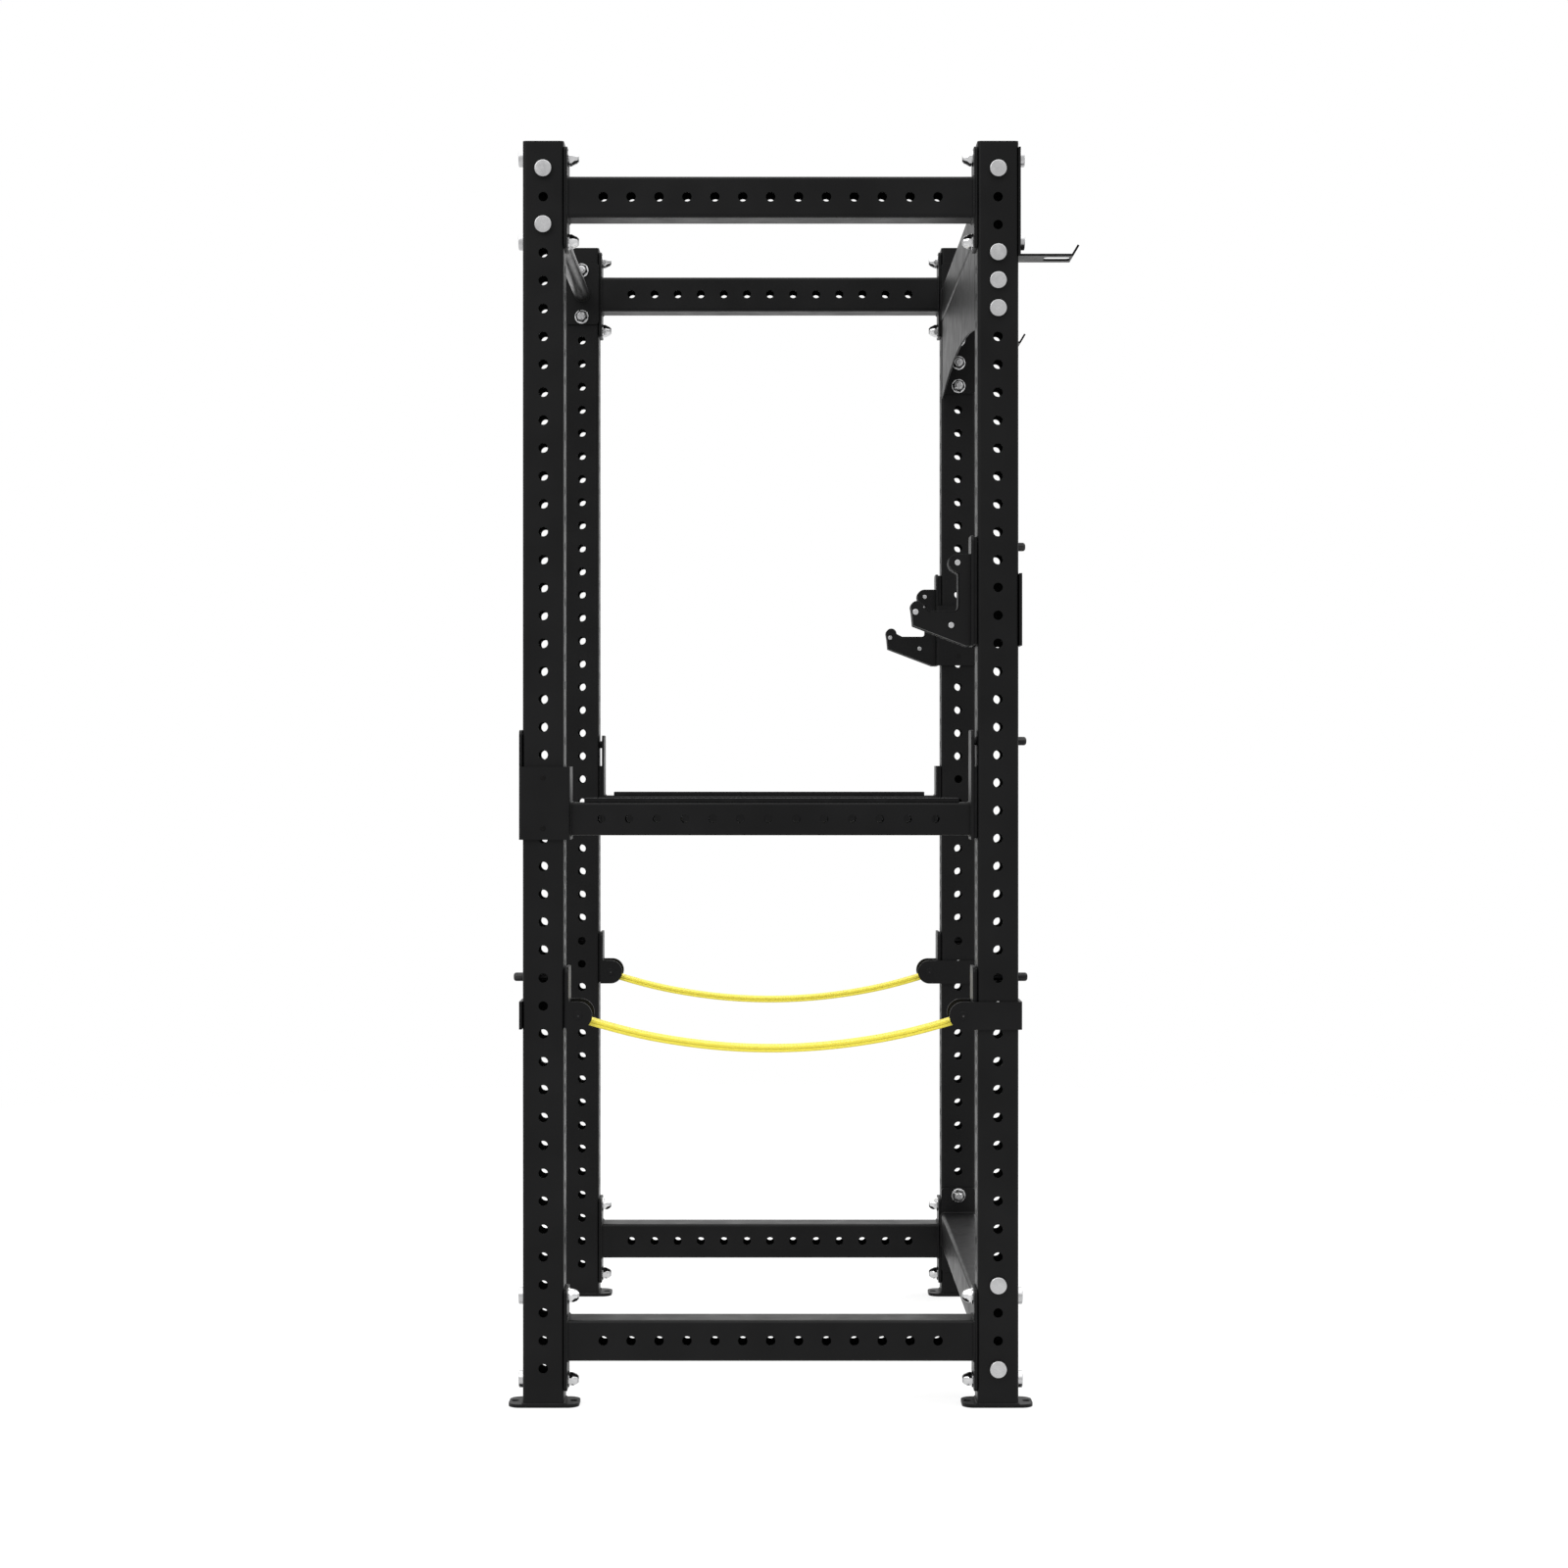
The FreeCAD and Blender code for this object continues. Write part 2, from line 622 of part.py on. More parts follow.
def safety(side, sy):
    """One flip-down safety. Its lock bracket is at the front on the right side, at the rear on the left."""
    lock = sy
    bar_z = SAFETY_Z + SAFETY_BAR_Z
    bottom, top = SAFETY_WRAP

    def at_lock(shape):
        return placed(shape, (lock, sy), sy, SAFETY_Z)

    def at_end(shape):
        return placed(shape, (-lock, sy), sy, SAFETY_Z)

    def at_bar(shape):
        return moved(shape.mirror(V(0, 0, 0), V(1, 0, 0)) if lock > 0 else shape, 0, sy * UPRIGHT_Y, bar_z)

    bracket = pin_hole(wrap_bracket(bottom, top, SAFETY_TOP, "outer"))
    plate = pin_hole(round_topped(box(INNER_FACE, INNER_BACK, -HALF, HALF, bottom, SAFETY_TOP)))
    wear_pad = pad(bottom, top, False)
    strip_z = SAFETY_BAR / 2
    strip = box(STRIP_X[0], STRIP_X[1], -STRIP_W / 2, STRIP_W / 2, strip_z, strip_z + STRIP_T)
    save("safety_" + side + "_bar", at_bar(safety_bar()))
    save("safety_" + side + "_strip", at_bar(strip))
    save("safety_" + side + "_lock_bracket", at_lock(bracket))
    save("safety_" + side + "_end_plate", at_end(plate))
    save("safety_" + side + "_pads", at_lock(wear_pad), at_end(wear_pad))
    pins = at_lock(pin(OUTER_BACK, LOCK_PIN_END)), at_end(pin(INNER_BACK, SAFETY_PIN_END))
    save("safety_" + side + "_pins", *pins)
    save("safety_" + side + "_screws", *[at_lock(s) for s in wrap_screws(bottom, top)])


# ---------------------------------------------------------------- strap safeties

def strap_bracket():
    """A bracket with two ears. One ear carries on from the side plate, the other from the inner plate."""
    bottom, top = STRAP_WRAP
    body = wrap_bracket(bottom, top, STRAP_TOP, "inner", STRAP_PAD_T)
    ear_x, ear_z = EAR
    ears = []
    for root, y in ((STRAP_BACK - PLATE, -HALF), (STRAP_BACK - BEND_R, SIDE_FACE)):
        disc = rod(EAR_R, (ear_x, y, ear_z), (ear_x, y + PLATE, ear_z))
        room = box(root, ear_x + EAR_R, y, y + PLATE, ear_z - EAR_R, ear_z + EAR_R)
        neck = box(root, ear_x, y, y + PLATE, ear_z - EAR_R, ear_z + EAR_R)
        ears.append(disc.common(room).fuse(neck))
    body = body.fuse(ears)
    body = body.cut(rod(CROSS_PIN_R, (ear_x, -TUBE, ear_z), (ear_x, TUBE, ear_z)))
    return one_solid(pin_hole(body))


def cross_pin():
    """The pin through both ears, a little proud of them, with a lathe's centre mark in each end."""
    ear_x, ear_z = EAR
    low, high = -HALF - CROSS_PROUD, SIDE_BACK + CROSS_PROUD
    body = rod(CROSS_PIN_R, (ear_x, low, ear_z), (ear_x, high, ear_z))
    marks = []
    for y, inwards in ((low, 1), (high, -1)):
        marks.append(Part.makeCone(CENTRE_MARK, 0, CENTRE_MARK, V(ear_x, y, ear_z), V(0, inwards, 0)))
    return cut_all(body, marks)


def filleted_route(points):
    """Straight runs joined by tangent arcs, as pieces of two or three (x, z) points, and their radii."""
    runs = [math.dist(a, b) for a, b in zip(points, points[1:])]
    pieces, radii, start = [], [], points[0]
    for i in range(1, len(points) - 1):
        before, here, after = (V(p[0], 0, p[1]) for p in points[i - 1:i + 2])
        into, out = (here - before).normalize(), (after - here).normalize()
        turn = into.getAngle(out)
        cut = 0.45 * min(runs[i - 1], runs[i])
        radius = cut / math.tan(turn / 2)
        a, b = here - into * cut, here + out * cut
        inwards = (out - into).normalize()
        middle = here + inwards * (radius / math.cos(turn / 2) - radius)
        pieces += [(start, (a.x, a.z)), ((a.x, a.z), (middle.x, middle.z), (b.x, b.z))]
        start = (b.x, b.z)
        radii.append(radius)
    pieces.append((start, points[-1]))
    return pieces, radii


def thick_band(pieces, thickness):
    """A flat band of even thickness along a line of runs and arcs in the XZ plane, and its length."""
    line = Part.Wire(path_edges(pieces, 0))
    first = line.Edges[0]
    start = first.valueAt(first.FirstParameter)
    across = first.tangentAt(first.FirstParameter).cross(V(0, 1, 0)) * (thickness / 2)
    side = V(0, WEB_W / 2, 0)
    ring = [start + across - side, start - across - side, start - across + side, start + across + side]
    band = Part.BRepOffsetAPI.MakePipeShell(line)
    band.add(Part.makePolygon(ring + ring[:1]))
    band.build()
    band.makeSolid()
    return band.shape(), line.Length


def webbing():
    """One strap: the sagging band and an eye of the same webbing round each cross pin."""
    half = list(STRAP_ROUTE)
    points = half + [(-x, z) for x, z in reversed(half)]
    pieces, radii = filleted_route(points)
    band, length = thick_band(pieces, WEB_T)
    expected = length * WEB_W * WEB_T
    print("strap radii", [round(r) for r in radii], "length", round(length))
    print("strap volume over section times length", round(band.Volume / expected, 4))
    ear_x = UPRIGHT_X - EAR[0]
    ear_z = STRAP_Z + EAR[1]
    eyes = [rod(EYE_R, (s * ear_x, -WEB_W / 2, ear_z), (s * ear_x, WEB_W / 2, ear_z)) for s in (-1, 1)]
    body = band.fuse(eyes)
    pins = [rod(CROSS_PIN_R, (s * ear_x, -TUBE, ear_z), (s * ear_x, TUBE, ear_z)) for s in (-1, 1)]
    return one_solid(body.cut(pins))


def strap_safeties():
    bracket, pins, pads, cross_pins = strap_bracket(), [], [], []
    for corner in CORNERS:
        def put(shape):
            return placed(shape, corner, -corner[0], STRAP_Z)

        save("strap_bracket_" + corner_name(*corner), put(bracket))
        pins.append(put(pin(STRAP_BACK, STRAP_PIN_END)))
        pads.append(put(pad(STRAP_WRAP[0], STRAP_TOP - PAD_INSET, True, STRAP_PAD_T)))
        cross_pins.append(put(cross_pin()))
    save("strap_hanging_pins", *pins)
    save("strap_pads", *pads)
    save("strap_cross_pins", *cross_pins)
    strap = webbing()
    for side, sy in (("right", -1), ("left", 1)):
        save("strap_" + side, moved(strap, 0, sy * UPRIGHT_Y, 0))


def main():
    os.makedirs("parts", exist_ok=True)
    uprights()
    feet()
    caps()
    side_rails()
    pullup_bar()
    rear_beams()
    rear_panel()
    frame_fasteners()
    hangers()
    for side, sy in (("right", -1), ("left", 1)):
        jcup(side, sy)
        safety(side, sy)
    strap_safeties()


main()
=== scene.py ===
"""Looks of a free-standing power cage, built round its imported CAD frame. Lengths are in metres.

+X is the rear of the cage, +Y its left side and +Z up. Every mesh is made in that frame at rest.
"""

import json
import math

import bmesh
import bpy
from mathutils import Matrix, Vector


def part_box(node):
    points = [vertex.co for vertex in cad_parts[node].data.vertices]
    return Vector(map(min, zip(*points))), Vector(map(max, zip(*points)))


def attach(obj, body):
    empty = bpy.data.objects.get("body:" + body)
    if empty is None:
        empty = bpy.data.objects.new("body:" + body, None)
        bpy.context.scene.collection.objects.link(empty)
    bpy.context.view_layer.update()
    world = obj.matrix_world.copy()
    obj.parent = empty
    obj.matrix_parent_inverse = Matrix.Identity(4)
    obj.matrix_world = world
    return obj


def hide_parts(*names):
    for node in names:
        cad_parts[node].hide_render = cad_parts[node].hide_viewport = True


# Tube and hole system
TUBE = 0.075
WALL = 0.003
TUBE_CORNER = 0.007
BAR_CORNER = 0.005
INCH = 0.0254
PITCH = 2 * INCH
HOLE_R = 0.0085
HOLE_CHAMFER = 0.0006
HOLE_STEPS = 32
CORNER_STEPS = 6
STATIONS = 89
CLOSE_ZONE = (46, 68)
RAIL_HOLES = 13
SAFETY_HOLE_R = 0.00725
SAFETY_SHIFT = 0.004

# Plates, caps and the pull-up bar
PLATE_T = 0.006
HANGER_T = 0.004
PLATE_CORNER = 0.008
PLATE_EASE = 0.0006
OUTLINE_STEPS = 8
EDGE = 0.0007
FINE_EDGE = 0.0004
EDGE_RINGS = 2
# A cap's outline above its foot, as (how much narrower than the tube's bore, how far below the cap's top)
CAP_LAYERS = ((0, 0.0012), (0.0008, 0.0003), (0.0024, 0), (0.009, 0), (0.011, 0.0008))
PULLUP_WALL = 0.004
PULLUP_PARTS = 24
ROUND_STEPS = 64

# Angles between faces, in degrees: joined into one face under the first, eased over the second, and with a
# sharp edge over the others
FLAT_ANGLE = 0.6
EASED_ANGLE = 30
SHARP = 50.0
SHARP_TURNED = 40.0
SHARP_COPY = 60.0
SHARP_SOFT = 80.0
# Points nearer than this are one, on a copied piece and on a pin
SAME_POINT = 1e-6
SAME_ON_PIN = 1e-5

# Fasteners and pins. Bolts lie this far above and below a rail, and so far from the rear top beam
RAIL_BOLT = 3 * INCH
BEAM_BOLTS = (RAIL_BOLT, -RAIL_BOLT, -5 * INCH, -7 * INCH)
# A bar cup's bright bolts lie more than this far in front of the middle of its bracket
BRIGHT_PART = 0.03
HEAD_R = 0.0155
HEAD_T = 0.0095
HEAD_EDGE = 0.0015
# The middle of a head's round edge, as shares of HEAD_EDGE below its top and in from its side
HEAD_BEND = (0.4, 0.35)
SHANK_R = 0.008
THREAD_DEPTH = 0.0008
THREAD_PITCH = 0.002
WASHER_R = 0.015
WASHER_T = 0.0025
WASHER_PLAY = 0.0001
NUT_FLATS = 0.024
NUT_T = 0.0145
NUT_STRAIGHT = 0.004
NUT_END_R = 0.009
NUT_RINGS = 8
TIP = 0.0025
TIP_CHAMFER = 0.002
PIN_R = 0.00795
PIN_ROUND = 0.005
PIN_RINGS = 8
PIN_EASE = 0.0006
CENTRE_MARK = 0.002
TURN_STEPS = 48

# Weld beads
WELD_R = 0.0026
WELD_STEP = 0.0009
WELD_RIPPLE = 3.2
WELD_SIDES = 8
RIPPLE_SHARE = 0.09
DRIFT_SHARE = 0.08
# Slow changes of a bead's size along it, as (turn for each step, start)
WELD_DRIFTS = ((0.083, 0.0), (0.031, 1.3))

# Webbing of the strap safeties
WEB_W = 0.0508
WEB_T = 0.0115
EYE_PLY = 0.005
# The strap's line from its eye to mid-span, as (x, z), the same points as the CAD route
STRAP_ROUTE = (
    (-0.3522, 0.7082), (-0.3, 0.6918), (-0.219, 0.6722), (-0.128, 0.6582), (-0.042, 0.6516),
)
# The eye opens this far along the line, and the sewing starts where the ears end
SEAM = 0.012
SEWING = 0.034
BOX_LENGTH = 0.048
BOX_WIDTH = 0.040
ROWS = (-0.019, -0.0065, 0.0065, 0.019)
SELVEDGE = 0.0018
# A ply's edge from its base to its middle, as (how far in, how far up) in selvedges
SELVEDGE_CURVE = ((1.0, 0.0), (0.35, 0.25), (0.0, 0.8))
WEB_PARTS = 8
EYE_STEPS = 32
CURVE_STEPS = 12
CURVE_REACH = 0.38
STITCH = 0.0042
STITCH_DIP = 0.0005
STITCH_SIDES = 6
# A stitch's girth along its length, as (from one end to the other, share of the thread's radius)
STITCH_GIRTH = ((-1.0, 0.25), (-0.7, 0.8), (0.0, 1.0), (0.7, 0.8), (1.0, 0.25))
STITCH_PITCH = 0.0055
THREAD_R = 0.00055

# Camera and light
CAMERA_PLACE = (-0.0062, -6.2231, 1.176)
CAMERA_LENS = 70.67
CAMERA_SHIFT = (0.0107, -0.0141)
SENSOR = 36.0
VIEW_END = 200.0
FLOOR_SIZE = 60.0
# How much of the floor's light is its own under the cage, and between which distances that grows to all
FLOOR_SHARE = 0.75
FLOOR_GROWS = (1.5, 5.0)
# The ceiling's light against the walls', and the heights of the sky between which it grows
ZENITH = 2.8
CEILING = (0.4, 0.8)
LIT_PLACE = (0, 0, 1.2)
# Each lamp's name, place, size and power
LAMPS = (("key", (-4.0, -5.0, 5.5), 3.0, 140.0), ("fill", (5.0, 4.0, 5.0), 3.5, 120.0))

SIDES = (("right", -1), ("left", 1))
ENDS = (("front", -1), ("rear", 1))
RAILS = ["side_rail_" + level + "_" + side for level in ("top", "bottom") for side in ("right", "left")]


# ---- materials

def dial(node, **values):
    """Sets a node's inputs by name, with _ for each space."""
    for name, value in values.items():
        node.inputs[name.replace("_", " ")].default_value = value


def added(tree, kind, **values):
    """A new shader node of a kind, with its inputs set."""
    node = tree.nodes.new("ShaderNode" + kind)
    dial(node, **values)
    return node


def principled(name, **values):
    """A new node material, its node tree and its shader, with the values that are the same all over."""
    material = bpy.data.materials.new(name)
    material.use_nodes = True
    tree = material.node_tree
    shader = tree.nodes["Principled BSDF"]
    dial(shader, **values)
    return material, tree, shader


def noise(tree, scale, detail=2.0, roughness=0.5, stretch=None):
    """A noise texture in the piece's own coordinates, stretched along an axis if asked."""
    place = added(tree, "TexCoord").outputs["Object"]
    if stretch:
        mapping = added(tree, "Mapping", Scale=stretch)
        tree.links.new(place, mapping.inputs["Vector"])
        place = mapping.outputs["Vector"]
    texture = added(tree, "TexNoise", Scale=scale, Detail=detail, Roughness=roughness)
    tree.links.new(place, texture.inputs["Vector"])
    return texture.outputs["Fac"]


def spread(tree, value, low, high, start=0.3, end=0.7):
    """A texture's value spread evenly between two numbers."""
    node = added(tree, "MapRange", From_Min=start, From_Max=end, To_Min=low, To_Max=high)
    tree.links.new(value, node.inputs["Value"])
    return node.outputs["Result"]


def paint(tree, shader, value, dark, light, start=0.3, end=0.7):
    """The shader's base colour, between two tones by a texture's value."""
    ramp = added(tree, "ValToRGB")
    for element, place, tone in zip(ramp.color_ramp.elements, (start, end), (dark, light)):
        element.position = place
        element.color = (*tone, 1)
    tree.links.new(value, ramp.inputs["Fac"])
    tree.links.new(ramp.outputs["Color"], shader.inputs["Base Color"])


def dull(tree, shader, value, low, high):
    """The shader's roughness, between two numbers by a texture's value."""
    tree.links.new(spread(tree, value, low, high), shader.inputs["Roughness"])


def bump(tree, shader, height, distance, strength=1.0, under=None):
    """Adds relief from a height to a shader, over an earlier bump if one is given."""
    node = added(tree, "Bump", Distance=distance, Strength=strength)
    tree.links.new(height, node.inputs["Height"])
    if under:
        tree.links.new(under, node.inputs["Normal"])
    tree.links.new(node.outputs["Normal"], shader.inputs["Normal"])
    return node.outputs["Normal"]


def powder_coat():
    """Black powder coat: fine grain over a slow orange peel, with a faintly cloudy gloss."""
    material, tree, shader = principled("powder_coat_black", Specular_IOR_Level=0.115)
    paint(tree, shader, noise(tree, 7.0, 3.0), (0.0024, 0.0024, 0.0025), (0.0046, 0.0046, 0.0048))
    dull(tree, shader, noise(tree, 23.0, 4.0), 0.36, 0.46)
    peel = bump(tree, shader, noise(tree, 260.0, 1.0), 0.0002, 0.35)
    bump(tree, shader, noise(tree, 1500.0, 2.0, 0.6), 0.00008, 0.5, under=peel)
    return material


def bar_coat():
    """The pull-up bar's satin coat, smoother where hands rub it."""
    material, tree, shader = principled("bar_coat_satin", Specular_IOR_Level=0.35)
    paint(tree, shader, noise(tree, 9.0, 4.0), (0.004, 0.004, 0.0042), (0.012, 0.012, 0.0122))
    dull(tree, shader, noise(tree, 14.0, 3.0), 0.26, 0.42)
    bump(tree, shader, noise(tree, 900.0, 2.0), 0.00008, 0.4)
    return material


def zinc_steel():
    """Bright zinc plate: pale grey metal with a fine tumbled grain."""
    material, tree, shader = principled("zinc_plate", Metallic=1.0)
    paint(tree, shader, noise(tree, 60.0, 5.0, 0.6), (0.385, 0.385, 0.39), (0.465, 0.465, 0.47))
    dull(tree, shader, noise(tree, 180.0, 4.0), 0.2, 0.34)
    bump(tree, shader, noise(tree, 1400.0, 3.0), 0.00006, 0.5)
    return material


def bright_zinc():
    """The nuts' zinc plate: brighter and smoother than the bolts', so their facets flash."""
    material, tree, shader = principled("zinc_plate_bright", Metallic=1.0)
    paint(tree, shader, noise(tree, 90.0, 4.0, 0.6), (0.50, 0.50, 0.505), (0.64, 0.64, 0.645))
    dull(tree, shader, noise(tree, 240.0, 3.0), 0.1, 0.22)
    bump(tree, shader, noise(tree, 1600.0, 2.0), 0.00004, 0.4)
    return material


def pin_steel():
    """Black oxide steel pins, rubbed paler in long streaks."""
    material, tree, shader = principled("black_oxide_pin", Metallic=0.85)
    streaks = noise(tree, 90.0, 4.0, 0.6, stretch=(0.12, 1.0, 1.0))
    paint(tree, shader, streaks, (0.012, 0.012, 0.013), (0.045, 0.044, 0.043), 0.42, 0.75)
    dull(tree, shader, streaks, 0.5, 0.3)
    bump(tree, shader, noise(tree, 1200.0, 2.0), 0.00005, 0.4)
    return material


def wear_plastic():
    """Black wear plastic: waxy, finely pebbled, with faint scuffs where steel rubs it."""
    material, tree, shader = principled("wear_plastic_black", Specular_IOR_Level=0.1)
    scuffs = noise(tree, 55.0, 6.0, 0.7, stretch=(1.0, 0.25, 1.0))
    paint(tree, shader, scuffs, (0.0025, 0.0025, 0.0027), (0.007, 0.007, 0.0073), 0.45, 0.8)
    dull(tree, shader, scuffs, 0.5, 0.65)
    bump(tree, shader, noise(tree, 700.0, 2.0), 0.00012, 0.35)
    return material


def cap_plastic():
    """Moulded black plastic of the tube caps, with a coarse spark-eroded grain."""
    material, tree, shader = principled("cap_plastic_black", Specular_IOR_Level=0.35)
    grain = noise(tree, 1000.0, 3.0, 0.6)
    paint(tree, shader, grain, (0.009, 0.009, 0.0095), (0.016, 0.016, 0.017))
    dull(tree, shader, noise(tree, 30.0), 0.5, 0.62)
    bump(tree, shader, grain, 0.00025, 0.5)
    return material


def black_screw():
    """Black oxide screws, duller and darker than the coat round them."""
    material, tree, shader = principled("black_oxide_screw", Specular_IOR_Level=0.08)
    paint(tree, shader, noise(tree, 220.0, 3.0), (0.0022, 0.0021, 0.002), (0.0045, 0.0043, 0.0042))
    dull(tree, shader, noise(tree, 300.0), 0.45, 0.6)
    bump(tree, shader, noise(tree, 1800.0), 0.00004, 0.4)
    return material


def yellow_webbing():
    """Woven nylon webbing. The weave attribute runs across the strap in x and along it in y, in metres."""
    material, tree, shader = principled(
        "webbing_yellow_nylon", Sheen_Weight=0.25, Sheen_Roughness=0.4, Sheen_Tint=(1.0, 0.93, 0.45, 1),
    )
    weave = added(tree, "Attribute")
    weave.attribute_name = "weave"
    tows = added(tree, "TexBrick")
    dial(tows, Scale=1.0, Brick_Width=0.0026, Row_Height=0.00127, Mortar_Size=0.0003, Mortar_Smooth=1.0)
    dial(tows, Color1=(0.79, 0.69, 0.065, 1), Color2=(0.72, 0.615, 0.045, 1), Mortar=(0.44, 0.36, 0.02, 1))
    quarter = added(tree, "VectorRotate", Angle=math.pi / 2)
    tree.links.new(weave.outputs["Vector"], quarter.inputs["Vector"])
    tree.links.new(quarter.outputs["Vector"], tows.inputs["Vector"])
    tree.links.new(tows.outputs["Color"], shader.inputs["Base Color"])
    dull(tree, shader, noise(tree, 400.0), 0.55, 0.7)
    fuzz = bump(tree, shader, noise(tree, 2600.0, 2.0), 0.00006, 0.6)
    gaps = spread(tree, tows.outputs["Fac"], 1.0, 0.0, 0.0, 1.0)
    bump(tree, shader, gaps, 0.0004, 0.7, under=fuzz)
    return material


def thread_yellow():
    """Bonded sewing thread, twisted, a shade deeper than the webbing."""
    material, tree, shader = principled("thread_yellow_bonded")
    twist = noise(tree, 1500.0, 1.0, 0.5, stretch=(0.6, 1.0, 1.0))
    paint(tree, shader, twist, (0.50, 0.40, 0.015), (0.78, 0.66, 0.05))
    dull(tree, shader, twist, 0.35, 0.5)
    bump(tree, shader, twist, 0.0001, 0.5)
    return material


# The material of each slot, made by the function of the same name
MATERIALS = {make.__name__: make() for make in (
    powder_coat, bar_coat, pin_steel, zinc_steel, wear_plastic, cap_plastic, black_screw, yellow_webbing,
)}
THREAD = thread_yellow()
NUT_ZINC = bright_zinc()


# ---- making pieces

class Sketch:
    """The points and faces of one piece while it is being made."""

    def __init__(self):
        self.points = []
        self.faces = []

    def point(self, place):
        self.points.append(tuple(place))
        return len(self.points) - 1

    def loop(self, places):
        return [self.point(p) for p in places]

    def face(self, ring, flipped=False):
        self.faces.append(tuple(reversed(ring)) if flipped else tuple(ring))

    def strip(self, first, second, flipped=False):
        """Quads between two rings of the same length."""
        count = len(first)
        for i in range(count):
            j = (i + 1) % count
            self.face((first[i], first[j], second[j], second[i]), flipped)


def soften(obj, sharp=SHARP):
    """Smooth shading with normals that follow the large faces, and sharp edges past an angle."""
    mesh = obj.data
    mesh.polygons.foreach_set("use_smooth", [True] * len(mesh.polygons))
    mesh.set_sharp_from_angle(angle=math.radians(sharp))
    normals = obj.modifiers.new("normals", "WEIGHTED_NORMAL")
    normals.keep_sharp = True


def settle(obj, slot, body, *nodes, material=None):
    """Gives a piece its material, hides the CAD nodes it replaces, and hangs it under its body's empty."""
    obj.data.materials.clear()
    obj.data.materials.append(material or MATERIALS[slot])
    if nodes:
        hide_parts(*nodes)
    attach(obj, body)
    return obj


def placed(name, data):
    """A new object in the scene for a mesh, a camera or a lamp."""
    obj = bpy.data.objects.new(name, data)
    bpy.context.scene.collection.objects.link(obj)
    return obj


def piece(name, sketch):
    """A mesh object from a sketch."""
    mesh = bpy.data.meshes.new(name)
    mesh.from_pydata(sketch.points, [], sketch.faces)
    mesh.validate()
    return placed(name, mesh)


def finished(name, sketch, slot, body, *nodes, sharp=SHARP, material=None):
    """A sketch made into a piece, shaded, given its material, and hung under its body's empty in place of its
    CAD nodes.
    """
    obj = piece(name, sketch)
    soften(obj, sharp)
    return settle(obj, slot, body, *nodes, material=material)


def middle_of(node):
    """The middle of a node's box."""
    low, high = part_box(node)
    return (low + high) / 2


def posts():
    """Each upright as (node, direction to its end of the cage, direction to its side)."""
    for end, sx in ENDS:
        for side, sy in SIDES:
            yield "upright_" + end + "_" + side, sx, sy


def bevelled_copy(node, slot, body, width=EDGE, name=None):
    """A copy of a CAD node's mesh with its flat faces joined up and its edges eased."""
    mesh = frame["nodes"][node].data.copy()
    work = bmesh.new()
    work.from_mesh(mesh)
    bmesh.ops.remove_doubles(work, verts=work.verts, dist=SAME_POINT)
    flat = math.radians(FLAT_ANGLE)
    bmesh.ops.dissolve_limit(work, angle_limit=flat, verts=work.verts, edges=work.edges)
    bmesh.ops.recalc_face_normals(work, faces=work.faces)
    work.to_mesh(mesh)
    work.free()
    obj = placed(name or node + "_finished", mesh)
    if "custom_normal" in mesh.attributes:
        mesh.attributes.remove(mesh.attributes["custom_normal"])
    bevel = obj.modifiers.new("edges", "BEVEL")
    bevel.width = width
    bevel.segments = EDGE_RINGS
    bevel.limit_method = "ANGLE"
    bevel.angle_limit = math.radians(EASED_ANGLE)
    soften(obj, SHARP_COPY)
    return settle(obj, slot, body, node)


# ---- square tubes

def tube_placer(axis, centre):
    """Turns (across, across, along) into a place. The two across directions and the axis are right-handed."""
    cx, cy, cz = centre
    placers = {
        "z": lambda a, b, w: (cx + a, cy + b, w),
        "x": lambda a, b, w: (w, cy + a, cz + b),
        "y": lambda a, b, w: (cx + b, w, cz + a),
    }
    return placers[axis]


TURNS = ((1, 0), (0, 1), (-1, 0), (0, -1))


def section_ring(sketch, place, half, radius, w):
    """One ring of a square tube's section: each face's two edges and middle, then its corner's points."""
    flat = half - radius
    ring, faces = [], []
    for nx, ny in TURNS:
        tx, ty = -ny, nx
        spots = [(nx * half + tx * s, ny * half + ty * s) for s in (-flat, 0, flat)]
        faces.append(sketch.loop(place(a, b, w) for a, b in spots))
        corner = []
        for k in range(1, CORNER_STEPS):
            angle = math.pi / 2 * k / CORNER_STEPS
            a = (nx + tx) * flat + radius * (nx * math.cos(angle) + tx * math.sin(angle))
            b = (ny + ty) * flat + radius * (ny * math.cos(angle) + ty * math.sin(angle))
            corner.append(sketch.point(place(a, b, w)))
        ring += faces[-1] + corner
    return ring, faces


def circle_points(radius, steps):
    """Points round a circle, as (across, up)."""
    turns = [2 * math.pi * k / steps for k in range(steps)]
    return [(radius * math.cos(turn), radius * math.sin(turn)) for turn in turns]


def hole_circle(sketch, place, turn, depth, radius, w):
    """A hole's circle on the face that looks along turn, at a distance from the tube's axis."""
    nx, ny = turn
    circle = circle_points(radius, HOLE_STEPS)
    spots = [(nx * depth - ny * s, ny * depth + nx * s, w + rise) for s, rise in circle]
    return sketch.loop(place(*spot) for spot in spots)


def hole_sides(circle):
    """A hole's circle in two: its right side from the top down, and its left side from the bottom up."""
    quarter = HOLE_STEPS // 4
    right = [circle[k] for k in range(quarter, -quarter - 1, -1)]
    left = [circle[k] for k in range(3 * quarter, quarter - 1, -1)]
    return right, left


def face_cell(sketch, low, high, circle, flipped):
    """One face's stretch between two levels: two panels that meet at its middle, or round a hole."""
    if circle is None:
        sketch.face((low[0], low[1], high[1], high[0]), flipped)
        sketch.face((low[1], low[2], high[2], high[1]), flipped)
        return
    right, left = hole_sides(circle)
    sketch.face([low[0], low[1], *left, high[1], high[0]], flipped)
    sketch.face([low[1], low[2], high[2], high[1], *right], flipped)


